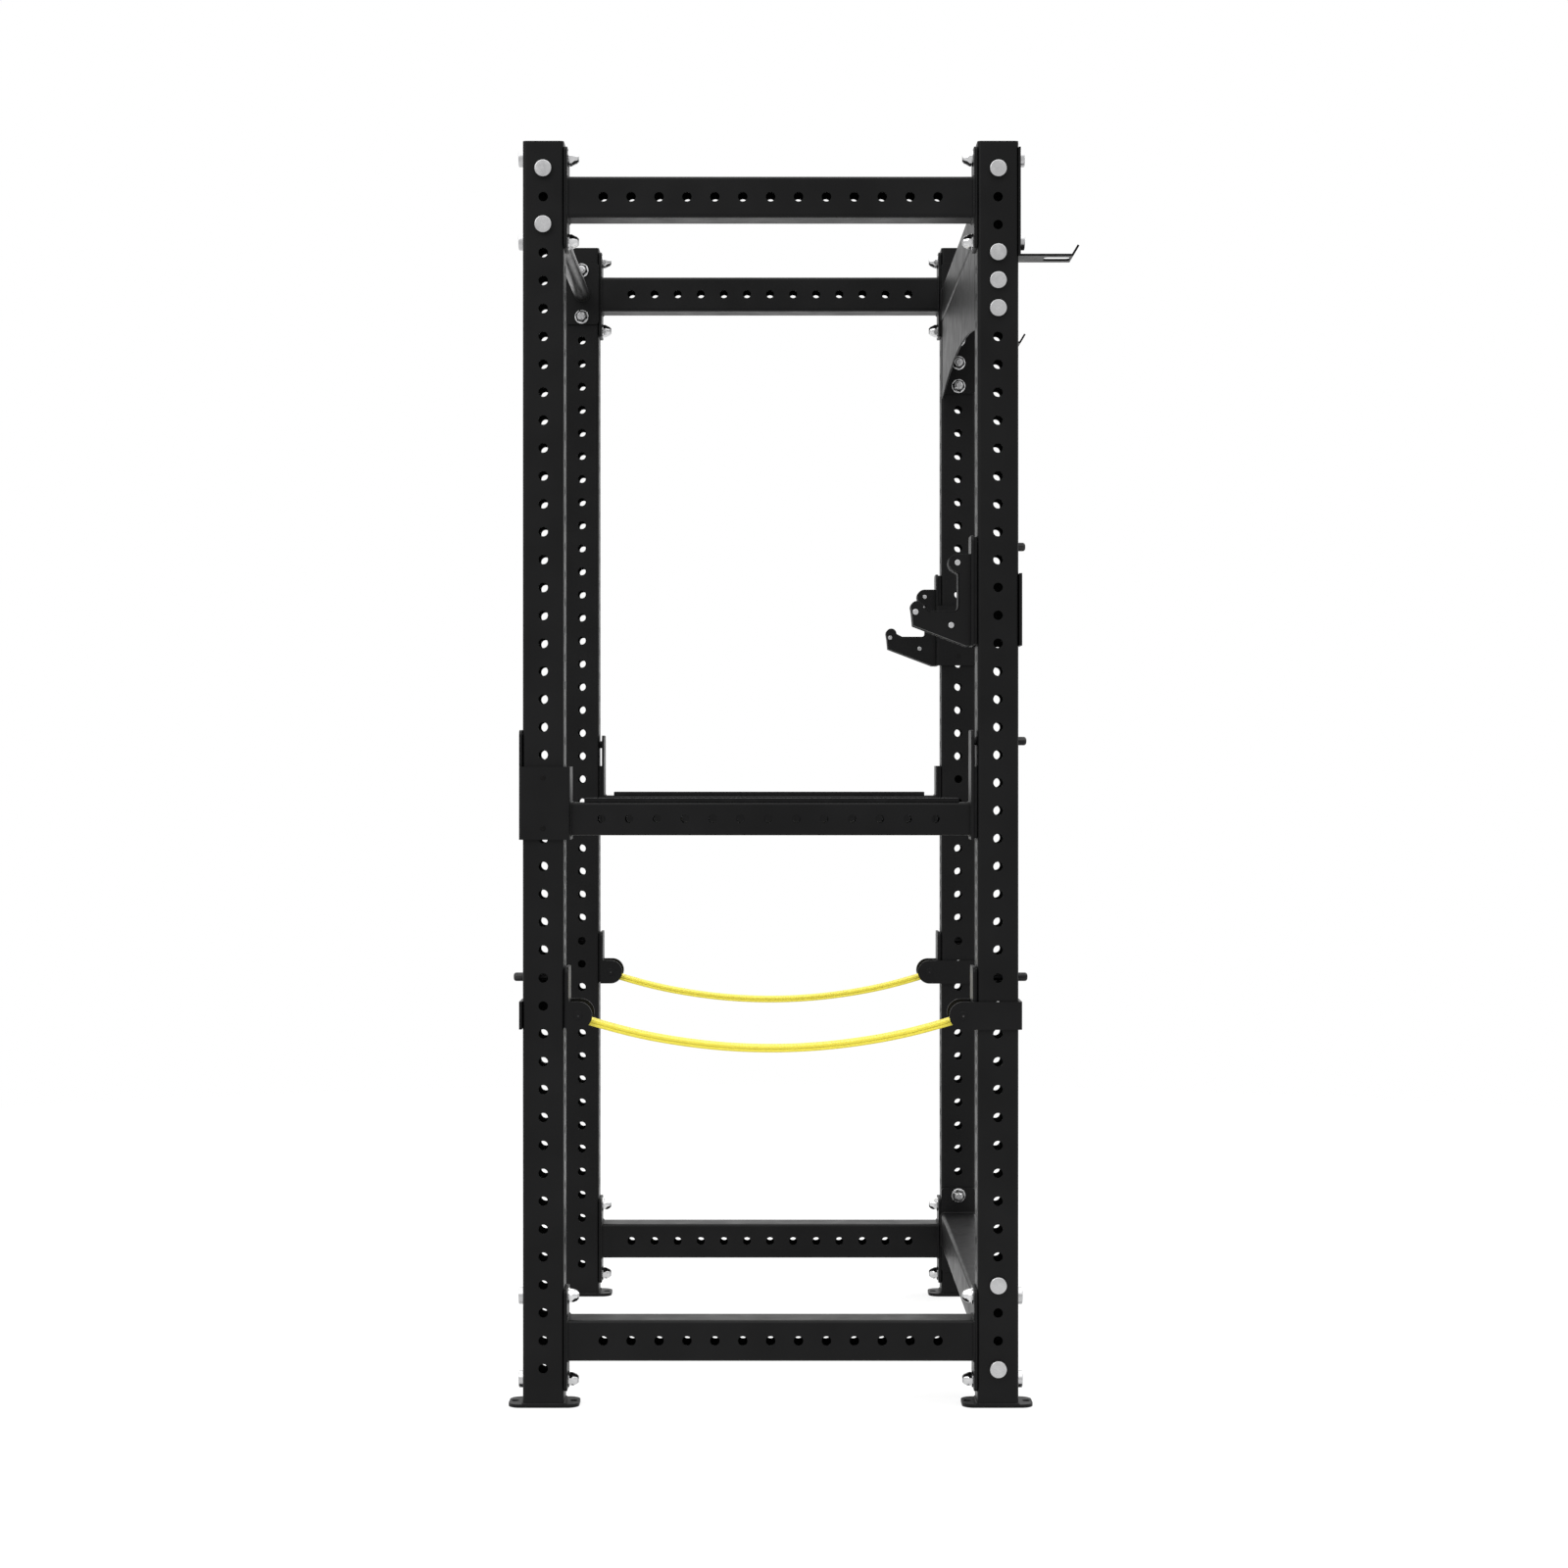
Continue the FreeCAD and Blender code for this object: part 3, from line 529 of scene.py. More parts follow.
def square_tube(axis, centre, size, corner, levels, holes, hole_r=HOLE_R):
    """A square tube through the levels given along its axis.
    holes maps a face, 0 to 3 round the axis, to the numbers of the cells that have a hole in their middle."""
    sketch, place = Sketch(), tube_placer(axis, centre)
    skins = ((size / 2, corner, False), (size / 2 - WALL, corner - WALL, True))
    ends = []
    mouths = {}
    for half, radius, flipped in skins:
        rings = [section_ring(sketch, place, half, radius, w) for w in levels]
        for cell, (low, high) in enumerate(zip(rings, rings[1:])):
            middle = (levels[cell] + levels[cell + 1]) / 2
            for face in range(4):
                circle = None
                if cell in holes.get(face, ()):
                    wide = hole_r if flipped else hole_r + HOLE_CHAMFER
                    circle = hole_circle(sketch, place, TURNS[face], half, wide, middle)
                    mouths.setdefault((cell, face), []).append(circle)
                face_cell(sketch, low[1][face], high[1][face], circle, flipped)
            count = len(low[0])
            each = count // 4
            for face in range(4):
                for k in range(2, each):
                    i, j = face * each + k, (face * each + k + 1) % count
                    sketch.face((low[0][i], low[0][j], high[0][j], high[0][i]), flipped)
        ends.append((rings[0][0], rings[-1][0]))
    for (cell, face), (mouth, inner) in mouths.items():
        middle = (levels[cell] + levels[cell + 1]) / 2
        bore = hole_circle(sketch, place, TURNS[face], size / 2 - HOLE_CHAMFER, hole_r, middle)
        sketch.strip(mouth, bore)
        sketch.strip(bore, inner)
    sketch.strip(ends[0][0], ends[1][0], True)
    sketch.strip(ends[0][1], ends[1][1])
    return sketch


def tube_frame(node):
    """A tube node's axis, centre, size and ends, from its box."""
    low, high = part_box(node)
    spans = high - low
    axis = max(range(3), key=lambda i: spans[i])
    size = min(spans)
    return "xyz"[axis], (low + high) / 2, size, low[axis], high[axis]


def uprights():
    """Four uprights with a hole at every second inch of their side faces and at every other inch,
    or every inch in the close zone, of their front and rear faces."""
    stations = range(1, STATIONS + 1)
    cell_of = {n: STATIONS + 1 - n for n in stations}
    close = range(CLOSE_ZONE[0], CLOSE_ZONE[1] + 1)
    side_cells = {cell_of[n] for n in stations if n % 2 == 0}
    end_cells = {cell_of[n] for n in stations if n % 2 or n in close}
    holes = {0: end_cells, 2: end_cells, 1: side_cells, 3: side_cells}
    for node, _, _ in posts():
        axis, centre, size, bottom, top = tube_frame(node)
        levels = [top] + [top - INCH * (n + 0.5) for n in (0, *stations)] + [bottom]
        levels.reverse()
        sketch = square_tube(axis, centre, size, TUBE_CORNER, levels, holes)
        finished(node + "_tube", sketch, "powder_coat", "frame", node)


def pierced_rail(node, corner, body, hole_r=HOLE_R, shift=0.0):
    """A level tube with a row of holes, one pitch apart and centred on its length or a little to one side."""
    axis, centre, size, start, end = tube_frame(node)
    middle = (start + end) / 2 + shift
    levels = [start] + [middle + (i - RAIL_HOLES / 2) * PITCH for i in range(RAIL_HOLES + 1)] + [end]
    cells = set(range(1, RAIL_HOLES + 1))
    sketch = square_tube(axis, centre, size, corner, levels, {0: cells, 2: cells}, hole_r)
    finished(node + "_tube", sketch, "powder_coat", body, node)


def plain_beam(node):
    axis, centre, size, start, end = tube_frame(node)
    sketch = square_tube(axis, centre, size, TUBE_CORNER, [start, end], {})
    finished(node + "_tube", sketch, "powder_coat", "frame", node)


def beams():
    for level in ("top", "bottom"):
        for side, _ in SIDES:
            pierced_rail("side_rail_" + level + "_" + side, TUBE_CORNER, "frame")
        plain_beam("rear_" + level + "_beam")
    for side, sy in SIDES:
        body = "safety_" + side
        pierced_rail(body + "_bar", BAR_CORNER, body, SAFETY_HOLE_R, sy * SAFETY_SHIFT)


# ---- turned parts

def turned(sketch, origin, along, profile, steps=TURN_STEPS, flats=0):
    """Turns a profile of (distance along, radius) round a line. Points at no radius close the ends.
    With flats, the section is a polygon whose flats are cut at each radius, as on a nut."""
    along = Vector(along).normalized()
    side = along.orthogonal().normalized()
    up = along.cross(side)
    rings = []
    for distance, radius in profile:
        centre = Vector(origin) + along * distance
        if radius == 0:
            rings.append([sketch.point(centre)])
            continue
        ring = []
        for k in range(steps):
            angle = 2 * math.pi * k / steps
            reach = radius
            if flats:
                sector = 2 * math.pi / flats
                within = (angle % sector) - sector / 2
                reach = min(radius, NUT_FLATS / 2 / math.cos(within))
            ring.append(sketch.point(centre + (side * math.cos(angle) + up * math.sin(angle)) * reach))
        rings.append(ring)
    for first, second in zip(rings, rings[1:]):
        for k in range(steps):
            j = (k + 1) % steps
            if len(first) == 1:
                sketch.face((first[0], second[j], second[k]))
            elif len(second) == 1:
                sketch.face((first[k], first[j], second[0]))
            else:
                sketch.face((first[k], first[j], second[j], second[k]))


def bolt_profile(grip):
    """From the thread's tip to the head's top: a pointed threaded end, a plain shank and a low round head."""
    end = grip + WASHER_T + NUT_T + TIP
    root = SHANK_R - THREAD_DEPTH
    profile = [(-end, 0), (-end, SHANK_R - TIP_CHAMFER), (-end + TIP_CHAMFER - THREAD_DEPTH, root)]
    turns = int((WASHER_T + NUT_T) / THREAD_PITCH)
    for i in range(turns):
        start = -end + TIP_CHAMFER + i * THREAD_PITCH
        profile += [(start + THREAD_PITCH / 2, SHANK_R), (start + THREAD_PITCH, root)]
    below, inward = HEAD_BEND
    profile += [
        (-grip, SHANK_R), (0, SHANK_R), (0, HEAD_R - FINE_EDGE), (FINE_EDGE, HEAD_R),
        (HEAD_T - HEAD_EDGE, HEAD_R), (HEAD_T - HEAD_EDGE * below, HEAD_R - HEAD_EDGE * inward),
        (HEAD_T, HEAD_R - HEAD_EDGE), (HEAD_T, 0),
    ]
    return profile


def washer_profile():
    hole = SHANK_R + WASHER_PLAY
    return [
        (0, hole), (0, WASHER_R - FINE_EDGE), (FINE_EDGE, WASHER_R), (WASHER_T - FINE_EDGE, WASHER_R),
        (WASHER_T, WASHER_R - FINE_EDGE), (WASHER_T, hole), (0, hole),
    ]


def nut_profile():
    """A seat, a straight hexagon and a cone whose facets run out towards the nut's end."""
    corner = NUT_FLATS / math.sqrt(3)
    profile = [(0, SHANK_R), (0, corner), (NUT_STRAIGHT, corner)]
    cone = NUT_T - NUT_STRAIGHT
    for k in range(1, NUT_RINGS + 1):
        profile.append((NUT_STRAIGHT + cone * k / NUT_RINGS, corner + (NUT_END_R - corner) * k / NUT_RINGS))
    return profile + [(NUT_T, SHANK_R), (0, SHANK_R)]


def frame_joints():
    """Every bolted joint as (place under the head, outward direction, clamped thickness)."""
    joints = []
    levels = [middle_of("side_rail_" + level + "_right").z for level in ("top", "bottom")]
    for node, sx, sy in posts():
        x, y, _ = middle_of(node)
        for level in levels:
            extra = HANGER_T if sx > 0 and level == levels[0] else 0
            for dz in (RAIL_BOLT, -RAIL_BOLT):
                place = (x + sx * (TUBE / 2 + extra), y, level + dz)
                joints.append((place, (sx, 0, 0), TUBE + PLATE_T + extra))
        if sx < 0:
            heights = [levels[0] + PITCH, levels[0] - PITCH]
        else:
            heights = [levels[0] - INCH + dz for dz in BEAM_BOLTS]
            heights += [levels[1] + INCH + dz for dz in (RAIL_BOLT, -RAIL_BOLT)]
        for z in heights:
            joints.append(((x, y + sy * TUBE / 2, z), (0, sy, 0), TUBE + PLATE_T))
    return joints


def frame_fasteners():
    bolts, washers, nuts = Sketch(), Sketch(), Sketch()
    for place, outward, grip in frame_joints():
        outward = Vector(outward)
        seat = Vector(place) - outward * grip
        turned(bolts, place, outward, bolt_profile(grip))
        turned(washers, seat, -outward, washer_profile())
        turned(nuts, seat - outward * WASHER_T, -outward, nut_profile(), flats=6)
    zinc = MATERIALS["zinc_steel"]
    for name, sketch, material in (
        ("frame_bolts", bolts, zinc), ("frame_washers", washers, NUT_ZINC), ("frame_nuts", nuts, NUT_ZINC),
    ):
        finished(name + "_zinc", sketch, "zinc_steel", "frame", name, sharp=SHARP_TURNED, material=material)


def pullup_bar():
    low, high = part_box("pullup_bar")
    x, _, z = middle_of("pullup_bar")
    radius = (high.z - low.z) / 2
    bore = radius - PULLUP_WALL
    length = high.y - low.y
    profile = [(0, bore), (0, radius)]
    profile += [(length * i / PULLUP_PARTS, radius) for i in range(1, PULLUP_PARTS)]
    profile += [(length, radius), (length, bore), (0, bore)]
    sketch = Sketch()
    turned(sketch, (x, low.y, z), (0, 1, 0), profile, steps=ROUND_STEPS)
    finished("pullup_bar_tube", sketch, "bar_coat", "frame", "pullup_bar", sharp=SHARP_TURNED)


# ---- plates and caps

def rounded_outline(width, height, radius):
    """A round-cornered rectangle, counter-clockwise from the middle of its lower edge, as (across, up)."""
    x, z = width / 2 - radius, height / 2 - radius
    outline = [(0, -height / 2)]
    corners = ((x, -z, -90), (x, z, 0), (-x, z, 90), (-x, -z, 180))
    for number, (cx, cz, start) in enumerate(corners):
        for k in range(OUTLINE_STEPS + 1):
            angle = math.radians(start + 90 * k / OUTLINE_STEPS)
            outline.append((cx + radius * math.cos(angle), cz + radius * math.sin(angle)))
        if number == 1:
            outline.append((0, height / 2))
    return outline


def pierced_plate(sketch, place, height, thickness, holes):
    """A plate with round corners and a row of holes down its middle, with a small bevel on its rims.
    place turns (across, up, through) into a place; holes are heights from the plate's middle."""
    half_t, ease = thickness / 2, PLATE_EASE
    rims, mouths = [], []
    for through, inset in ((-half_t, ease), (-half_t + ease, 0), (half_t - ease, 0), (half_t, ease)):
        outline = rounded_outline(TUBE - 2 * inset, height - 2 * inset, PLATE_CORNER - inset)
        rims.append(sketch.loop(place(a, b, through) for a, b in outline))
        hole = circle_points(HOLE_R + inset, HOLE_STEPS)
        mouths.append([sketch.loop(place(a, z + b, through) for a, b in hole) for z in holes])
    for lower, upper in zip(rims, rims[1:]):
        sketch.strip(lower, upper)
    for hole in range(len(holes)):
        for lower, upper in zip(mouths, mouths[1:]):
            sketch.strip(lower[hole], upper[hole], True)
    half = len(rims[0]) // 2
    order = sorted(range(len(holes)), key=lambda i: -holes[i])
    for layer, flipped in ((0, True), (-1, False)):
        rim, circles = rims[layer], mouths[layer]
        right, left = rim[:half + 1], [rim[0], *reversed(rim[half:])]
        for i in order:
            down, up = hole_sides(circles[i])
            right = right + down
            left = left + up[::-1]
        sketch.face(right, flipped)
        sketch.face(left, not flipped)


def end_placer(axis, x, y, z, sign=1):
    """Turns (across, up, along) into a place, on a level tube with its middle at x, y and z."""
    if axis == "x":
        return lambda a, b, c: (c, y + sign * a, z + b)
    return lambda a, b, c: (x - sign * a, c, z + b)


def end_plates():
    """The welded plates at the ends of the side rails, the pull-up bar and the rear beams."""
    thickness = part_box("rear_beam_end_plates")[1].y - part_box("rear_top_beam")[1].y
    low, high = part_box("pullup_bar_end_plates")
    margin = (high.z - low.z) / 2 - PITCH
    rail_holes = (RAIL_BOLT, -RAIL_BOLT)
    rails = [(node, "x", rail_holes) for node in RAILS]
    jobs = {
        "side_rail_end_plates": rails,
        "pullup_bar_end_plates": [("pullup_bar", "y", (PITCH, -PITCH))],
        "rear_beam_end_plates": [("rear_top_beam", "y", BEAM_BOLTS), ("rear_bottom_beam", "y", rail_holes)],
    }
    for group, plates in jobs.items():
        sketch = Sketch()
        for node, axis, holes in plates:
            low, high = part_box(node)
            x, y, z = (low + high) / 2
            shift = (max(holes) + min(holes)) / 2
            height = max(holes) - min(holes) + 2 * margin
            bores = [h - shift for h in holes]
            along = "xyz".index(axis)
            place = end_placer(axis, x, y, z + shift)
            for w in (low[along] - thickness / 2, high[along] + thickness / 2):
                pierced_plate(sketch, lambda a, b, c: place(a, b, w + c), height, thickness, bores)
        finished(group + "_pierced", sketch, "powder_coat", "frame", group)


def stacked_rings(sketch, place, layers):
    """A closed block from outlines one above the other: (width, radius, height), the lowest first."""
    rings = []
    for width, radius, height in layers:
        rings.append(sketch.loop(place(a, b, height) for a, b in rounded_outline(width, width, radius)))
    for lower, upper in zip(rings, rings[1:]):
        sketch.strip(lower, upper)
    sketch.face(rings[0], True)
    sketch.face(rings[-1])


def caps():
    """Plastic plugs in the tops of the uprights, with an eased rim and a shallow dished top."""
    sketch = Sketch()
    low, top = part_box("upright_caps")
    width, radius = TUBE - 2 * WALL, TUBE_CORNER - WALL
    layers = [(width, radius, low.z)]
    layers += [(width - inset, radius, top.z - drop) for inset, drop in CAP_LAYERS]
    for node, _, _ in posts():
        x, y, _ = middle_of(node)
        stacked_rings(sketch, lambda a, b, c: (x + a, y + b, c), layers)
    finished("upright_caps_moulded", sketch, "cap_plastic", "frame", "upright_caps")


# ---- welds

def weld_ring(sketch, place, path, level):
    """A rippled fillet weld along a closed path of (across, up), lying against a plate at a level."""
    lengths = [math.dist(a, b) for a, b in zip(path, path[1:] + path[:1])]
    count = round(sum(lengths) / WELD_STEP)
    rings, corner, passed = [], 0, 0.0
    for i in range(count):
        target = sum(lengths) * i / count
        while passed + lengths[corner] < target:
            passed += lengths[corner]
            corner += 1
        t = (target - passed) / lengths[corner]
        (a0, b0), (a1, b1) = path[corner], path[(corner + 1) % len(path)]
        a, b = a0 + (a1 - a0) * t, b0 + (b1 - b0) * t
        out_a, out_b = (b1 - b0) / lengths[corner], -(a1 - a0) / lengths[corner]
        ripple = math.sin(2 * math.pi * i / WELD_RIPPLE)
        drift = sum(math.sin(turn * i + start) for turn, start in WELD_DRIFTS) / len(WELD_DRIFTS)
        radius = WELD_R * (1 + RIPPLE_SHARE * ripple + DRIFT_SHARE * drift)
        bead = circle_points(radius, WELD_SIDES)
        rings.append(sketch.loop(place(a + out_a * s, b + out_b * s, level + c) for s, c in bead))
    for first, second in zip(rings, rings[1:] + rings[:1]):
        sketch.strip(first, second)


def beam_welds(name, nodes, axis, path, body):
    """Welds round both ends of each tube node, where it meets its end plates."""
    sketch = Sketch()
    along = "xyz".index(axis)
    for node in nodes:
        low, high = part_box(node)
        x, y, z = (low + high) / 2
        for level, sign in ((low[along], -1), (high[along], 1)):
            weld_ring(sketch, end_placer(axis, x, y, z, sign), path, level)
    finished(name, sketch, "powder_coat", body, sharp=SHARP_SOFT)


def welds():
    """Fillet welds at the feet, the beams' end plates and the safeties' bars."""
    square = rounded_outline(TUBE, TUBE, TUBE_CORNER)
    sketch = Sketch()
    for node, _, _ in posts():
        x, y, _ = middle_of(node)
        weld_ring(sketch, lambda a, b, c: (x + a, y + b, c), square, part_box(node)[0].z)
    finished("foot_welds", sketch, "powder_coat", "frame", sharp=SHARP_SOFT)
    beam_welds("side_rail_welds", RAILS, "x", square, "frame")
    beam_welds("rear_beam_welds", ["rear_top_beam", "rear_bottom_beam"], "y", square, "frame")
    low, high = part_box("pullup_bar")
    round_path = circle_points((high.z - low.z) / 2, ROUND_STEPS)
    beam_welds("pullup_bar_welds", ["pullup_bar"], "y", round_path, "frame")
    for body in ("safety_right", "safety_left"):
        low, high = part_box(body + "_bar")
        small = rounded_outline(high.y - low.y, high.z - low.z, BAR_CORNER)
        beam_welds(body + "_welds", [body + "_bar"], "x", small, body)


# ---- accessory pins and small parts

def pin_profile(length):
    """A plain rod whose free end is rounded to a small flat."""
    profile = [(0, 0), (0, PIN_R)]
    for k in range(PIN_RINGS + 1):
        angle = math.pi / 2 * k / PIN_RINGS
        along = length - PIN_ROUND * (1 - math.sin(angle))
        profile.append((along, PIN_R - PIN_ROUND * (1 - math.cos(angle))))
    return profile + [(length, 0)]


def cross_profile(length):
    """A rod with eased ends and a lathe's centre mark in each."""
    half = [(CENTRE_MARK, 0), (0, CENTRE_MARK), (0, SHANK_R - PIN_EASE), (PIN_EASE, SHANK_R)]
    return half + [(length - along, radius) for along, radius in reversed(half)]


def node_rods(node, axis):
    """The separate rods of a pin node, as (start, end) along an axis, from the node's mesh."""
    work = bmesh.new()
    work.from_mesh(frame["nodes"][node].data)
    bmesh.ops.remove_doubles(work, verts=work.verts, dist=SAME_ON_PIN)
    left, rods = set(work.verts), []
    while left:
        seed = left.pop()
        group, edge = {seed}, [seed]
        while edge:
            vertex = edge.pop()
            for link in vertex.link_edges:
                other = link.other_vert(vertex)
                if other in left:
                    left.discard(other)
                    group.add(other)
                    edge.append(other)
        low = Vector([min(v.co[i] for v in group) for i in range(3)])
        high = Vector([max(v.co[i] for v in group) for i in range(3)])
        middle = (low + high) / 2
        start, end = middle.copy(), middle.copy()
        start[axis], end[axis] = low[axis], high[axis]
        rods.append((start, end))
    work.free()
    return sorted(rods, key=lambda r: tuple(round(c, 4) for c in r[0]))


def strap_pins():
    """The strap brackets' hanging pins, and the coated cross pins, whose centre marks show bare steel."""
    hanging, crossing = Sketch(), Sketch()
    for start, end in node_rods("strap_hanging_pins", 0):
        if abs(start.x) > abs(end.x):
            start, end = end, start
        turned(hanging, start, end - start, pin_profile((end - start).length))
    for start, end in node_rods("strap_cross_pins", 1):
        turned(crossing, start, end - start, cross_profile((end - start).length))
    pins = []
    for node, sketch, coat in (
        ("strap_hanging_pins", hanging, "pin_steel"), ("strap_cross_pins", crossing, "powder_coat"),
    ):
        name, material = node + "_turned", MATERIALS[coat]
        pins.append(finished(name, sketch, "pin_steel", "frame", node, sharp=SHARP_TURNED, material=material))
    mesh = pins[-1].data
    mesh.materials.append(MATERIALS["pin_steel"])
    for polygon in mesh.polygons:
        if len(polygon.vertices) == 3:
            polygon.material_index = 1


# How the names of the CAD pieces still showing begin or end, for each material slot
COPIES = {
    "powder_coat": (
        "foot_", "hanger_bracket_", "strap_bracket_", "rear_panel", "_end_plate", "_bracket", "_cheeks",
    ),
    "wear_plastic": ("_strip", "_pads", "_pad", "_liner"),
    "pin_steel": ("_pins", "_pin"),
    "black_screw": ("_screws",),
}


def small_parts():
    """Every CAD piece still showing gets eased edges and its slot's material."""
    for node in sorted(frame["nodes"]):
        if frame["nodes"][node].hide_render or node.startswith(("strap_left", "strap_right")):
            continue
        if node.endswith("_fasteners"):
            cup_fasteners(node)
            continue
        slot = next(s for s, words in COPIES.items() if node.startswith(words) or node.endswith(words))
        bevelled_copy(node, slot, BODY_OF[node])


def cup_fasteners(node):
    """A bar cup's barrel bolts, bright, and its bracket's two black screws: one node in two finishes."""
    source = bevelled_copy(node, "zinc_steel", BODY_OF[node], FINE_EDGE, node + "_bright")
    work = bmesh.new()
    work.from_mesh(source.data)
    dark = work.copy()
    border = middle_of(node.replace("_fasteners", "_bracket")).x - BRIGHT_PART
    screws = [v for v in work.verts if v.co.x > border]
    bolts = [v for v in dark.verts if v.co.x <= border]
    bmesh.ops.delete(work, geom=screws, context="VERTS")
    bmesh.ops.delete(dark, geom=bolts, context="VERTS")
    work.to_mesh(source.data)
    mesh = bpy.data.meshes.new(node + "_black")
    dark.to_mesh(mesh)
    work.free()
    dark.free()
    obj = placed(node + "_black", mesh)
    soften(obj, SHARP_TURNED)
    settle(obj, "black_screw", BODY_OF[node], node)


# ---- strap safeties

def smooth_line(points):
    """Places read from a NURBS line that has the route's points as its control points."""
    curve = bpy.data.curves.new("strap_line", "CURVE")
    curve.dimensions = "3D"
    curve.resolution_u = 16
    spline = curve.splines.new("NURBS")
    spline.points.add(len(points) - 1)
    for spot, place in zip(spline.points, points):
        spot.co = (*place, 1)
    spline.order_u = 3
    spline.use_endpoint_u = True
    holder = bpy.data.objects.new("strap_line", curve)
    mesh = bpy.data.meshes.new_from_object(holder)
    line = [v.co.copy() for v in mesh.vertices]
    bpy.data.meshes.remove(mesh)
    bpy.data.objects.remove(holder)
    return line


def web_section(plies, ply):
    """The webbing's section, counter-clockwise, as (across, through): each ply has round selvedges."""
    half, edge = WEB_W / 2, []
    bottom = -plies * ply / 2
    for number in range(plies):
        base = bottom + number * ply
        head = base + ply
        edge += [(half - a * SELVEDGE, base + b * SELVEDGE) for a, b in SELVEDGE_CURVE]
        edge += [(half - a * SELVEDGE, head - b * SELVEDGE) for a, b in SELVEDGE_CURVE[:0:-1]]
    edge.append((half - SELVEDGE, -bottom))
    flat = WEB_W - 2 * SELVEDGE
    top = [(flat / 2 - flat * i / WEB_PARTS, -bottom) for i in range(1, WEB_PARTS)]
    left = [(-a, -b) for a, b in edge]
    return edge + top + left + [(-a, -b) for a, b in top]


def sweep_web(sketch, weave, line, plies, ply, start=0.0):
    """Sweeps the webbing's section along a line in an XZ plane, and notes where each point is on it."""
    section = web_section(plies, ply)
    around, total = [0.0], 0.0
    for first, second in zip(section, section[1:]):
        total += math.dist(first, second)
        around.append(total)
    along, rings = start, []
    for i, spot in enumerate(line):
        before, after = line[max(i - 1, 0)], line[min(i + 1, len(line) - 1)]
        tangent = (after - before).normalized()
        through = tangent.cross(Vector((0, 1, 0)))
        if i:
            along += (spot - line[i - 1]).length
        ring = []
        for (a, b), u in zip(section, around):
            ring.append(sketch.point(spot + Vector((0, a, 0)) - through * b))
            weave.append((u, along, 0.0))
        rings.append(ring)
    for first, second in zip(rings, rings[1:]):
        sketch.strip(first, second, True)
    sketch.face(rings[0])
    sketch.face(rings[-1], True)
    return along


def trimmed(line, start, end):
    """The stretch of a line between two distances along it."""
    result, along = [], 0.0
    for first, second in zip(line, line[1:]):
        step = (second - first).length
        for cut in (start, end):
            if along < cut <= along + step:
                result.append(first.lerp(second, (cut - along) / step))
        along += step
        if start < along < end:
            result.append(second.copy())
    return result


def eye_line(join, direction, centre, radius, offset):
    """One ply's line from the seam, over the far side of the pin and back to the seam: a teardrop."""
    up = Vector((0, 1, 0)).cross(direction)
    if up.z < 0:
        up.negate()
    upper, lower = join + up * offset, join - up * offset
    towards = join - centre
    opening = math.acos(radius / towards.length)
    sense = 1 if Vector((0, 1, 0)).cross(towards).z < 0 else -1
    start = math.atan2(towards.z, towards.x) - sense * opening
    sweep = sense * 2 * (opening - math.pi)
    arc = []
    for k in range(EYE_STEPS + 1):
        angle = start + sweep * k / EYE_STEPS
        arc.append(centre + Vector((math.cos(angle), 0, math.sin(angle))) * radius)
    if (arc[0] - upper).length > (arc[-1] - upper).length:
        arc.reverse()
    leaving = curved(upper, -direction, arc[0], arc[1] - arc[0])
    coming = curved(arc[-1], arc[-1] - arc[-2], lower, direction)
    return leaving + arc[1:-1] + coming


def curved(start, leaving, end, arriving):
    """A smooth line between two places, leaving and arriving in two directions."""
    reach = (end - start).length * CURVE_REACH
    first = start + leaving.normalized() * reach
    second = end - arriving.normalized() * reach
    line = []
    for k in range(CURVE_STEPS + 1):
        t = k / CURVE_STEPS
        s = 1 - t
        line.append(start * s ** 3 + first * 3 * s * s * t + second * 3 * s * t * t + end * t ** 3)
    return line


def stitch(sketch, place, direction, normal):
    """One thread stitch: a short rounded bead that dips into the webbing at both ends."""
    direction = direction.normalized()
    side = direction.cross(normal).normalized()
    rings = []
    for t, girth in STITCH_GIRTH:
        centre = place + direction * t * STITCH / 2 - normal * (t * t * STITCH_DIP)
        ring = []
        for k in range(STITCH_SIDES):
            angle = 2 * math.pi * k / STITCH_SIDES
            reach = girth * THREAD_R
            ring.append(sketch.point(centre + (side * math.cos(angle) + normal * math.sin(angle)) * reach))
        rings.append(ring)
    for first, second in zip(rings, rings[1:]):
        sketch.strip(first, second)
    sketch.face(rings[0], True)
    sketch.face(rings[-1])


def stitch_row(sketch, frame_at, start, end):
    """Stitches from one (along, across) to another, on the side of the webbing that frame_at gives."""
    (along0, across0), (along1, across1) = start, end
    length = math.dist(start, end)
    count = max(1, round(length / STITCH_PITCH))
    for i in range(count):
        t = (i + 0.5) / count
        along, across = along0 + (along1 - along0) * t, across0 + (across1 - across0) * t
        spot, tangent, normal = frame_at(along)
        direction = tangent * (along1 - along0) + Vector((0, 1, 0)) * (across1 - across0)
        stitch(sketch, spot + Vector((0, across, 0)) + normal * (WEB_T / 2), direction, normal)


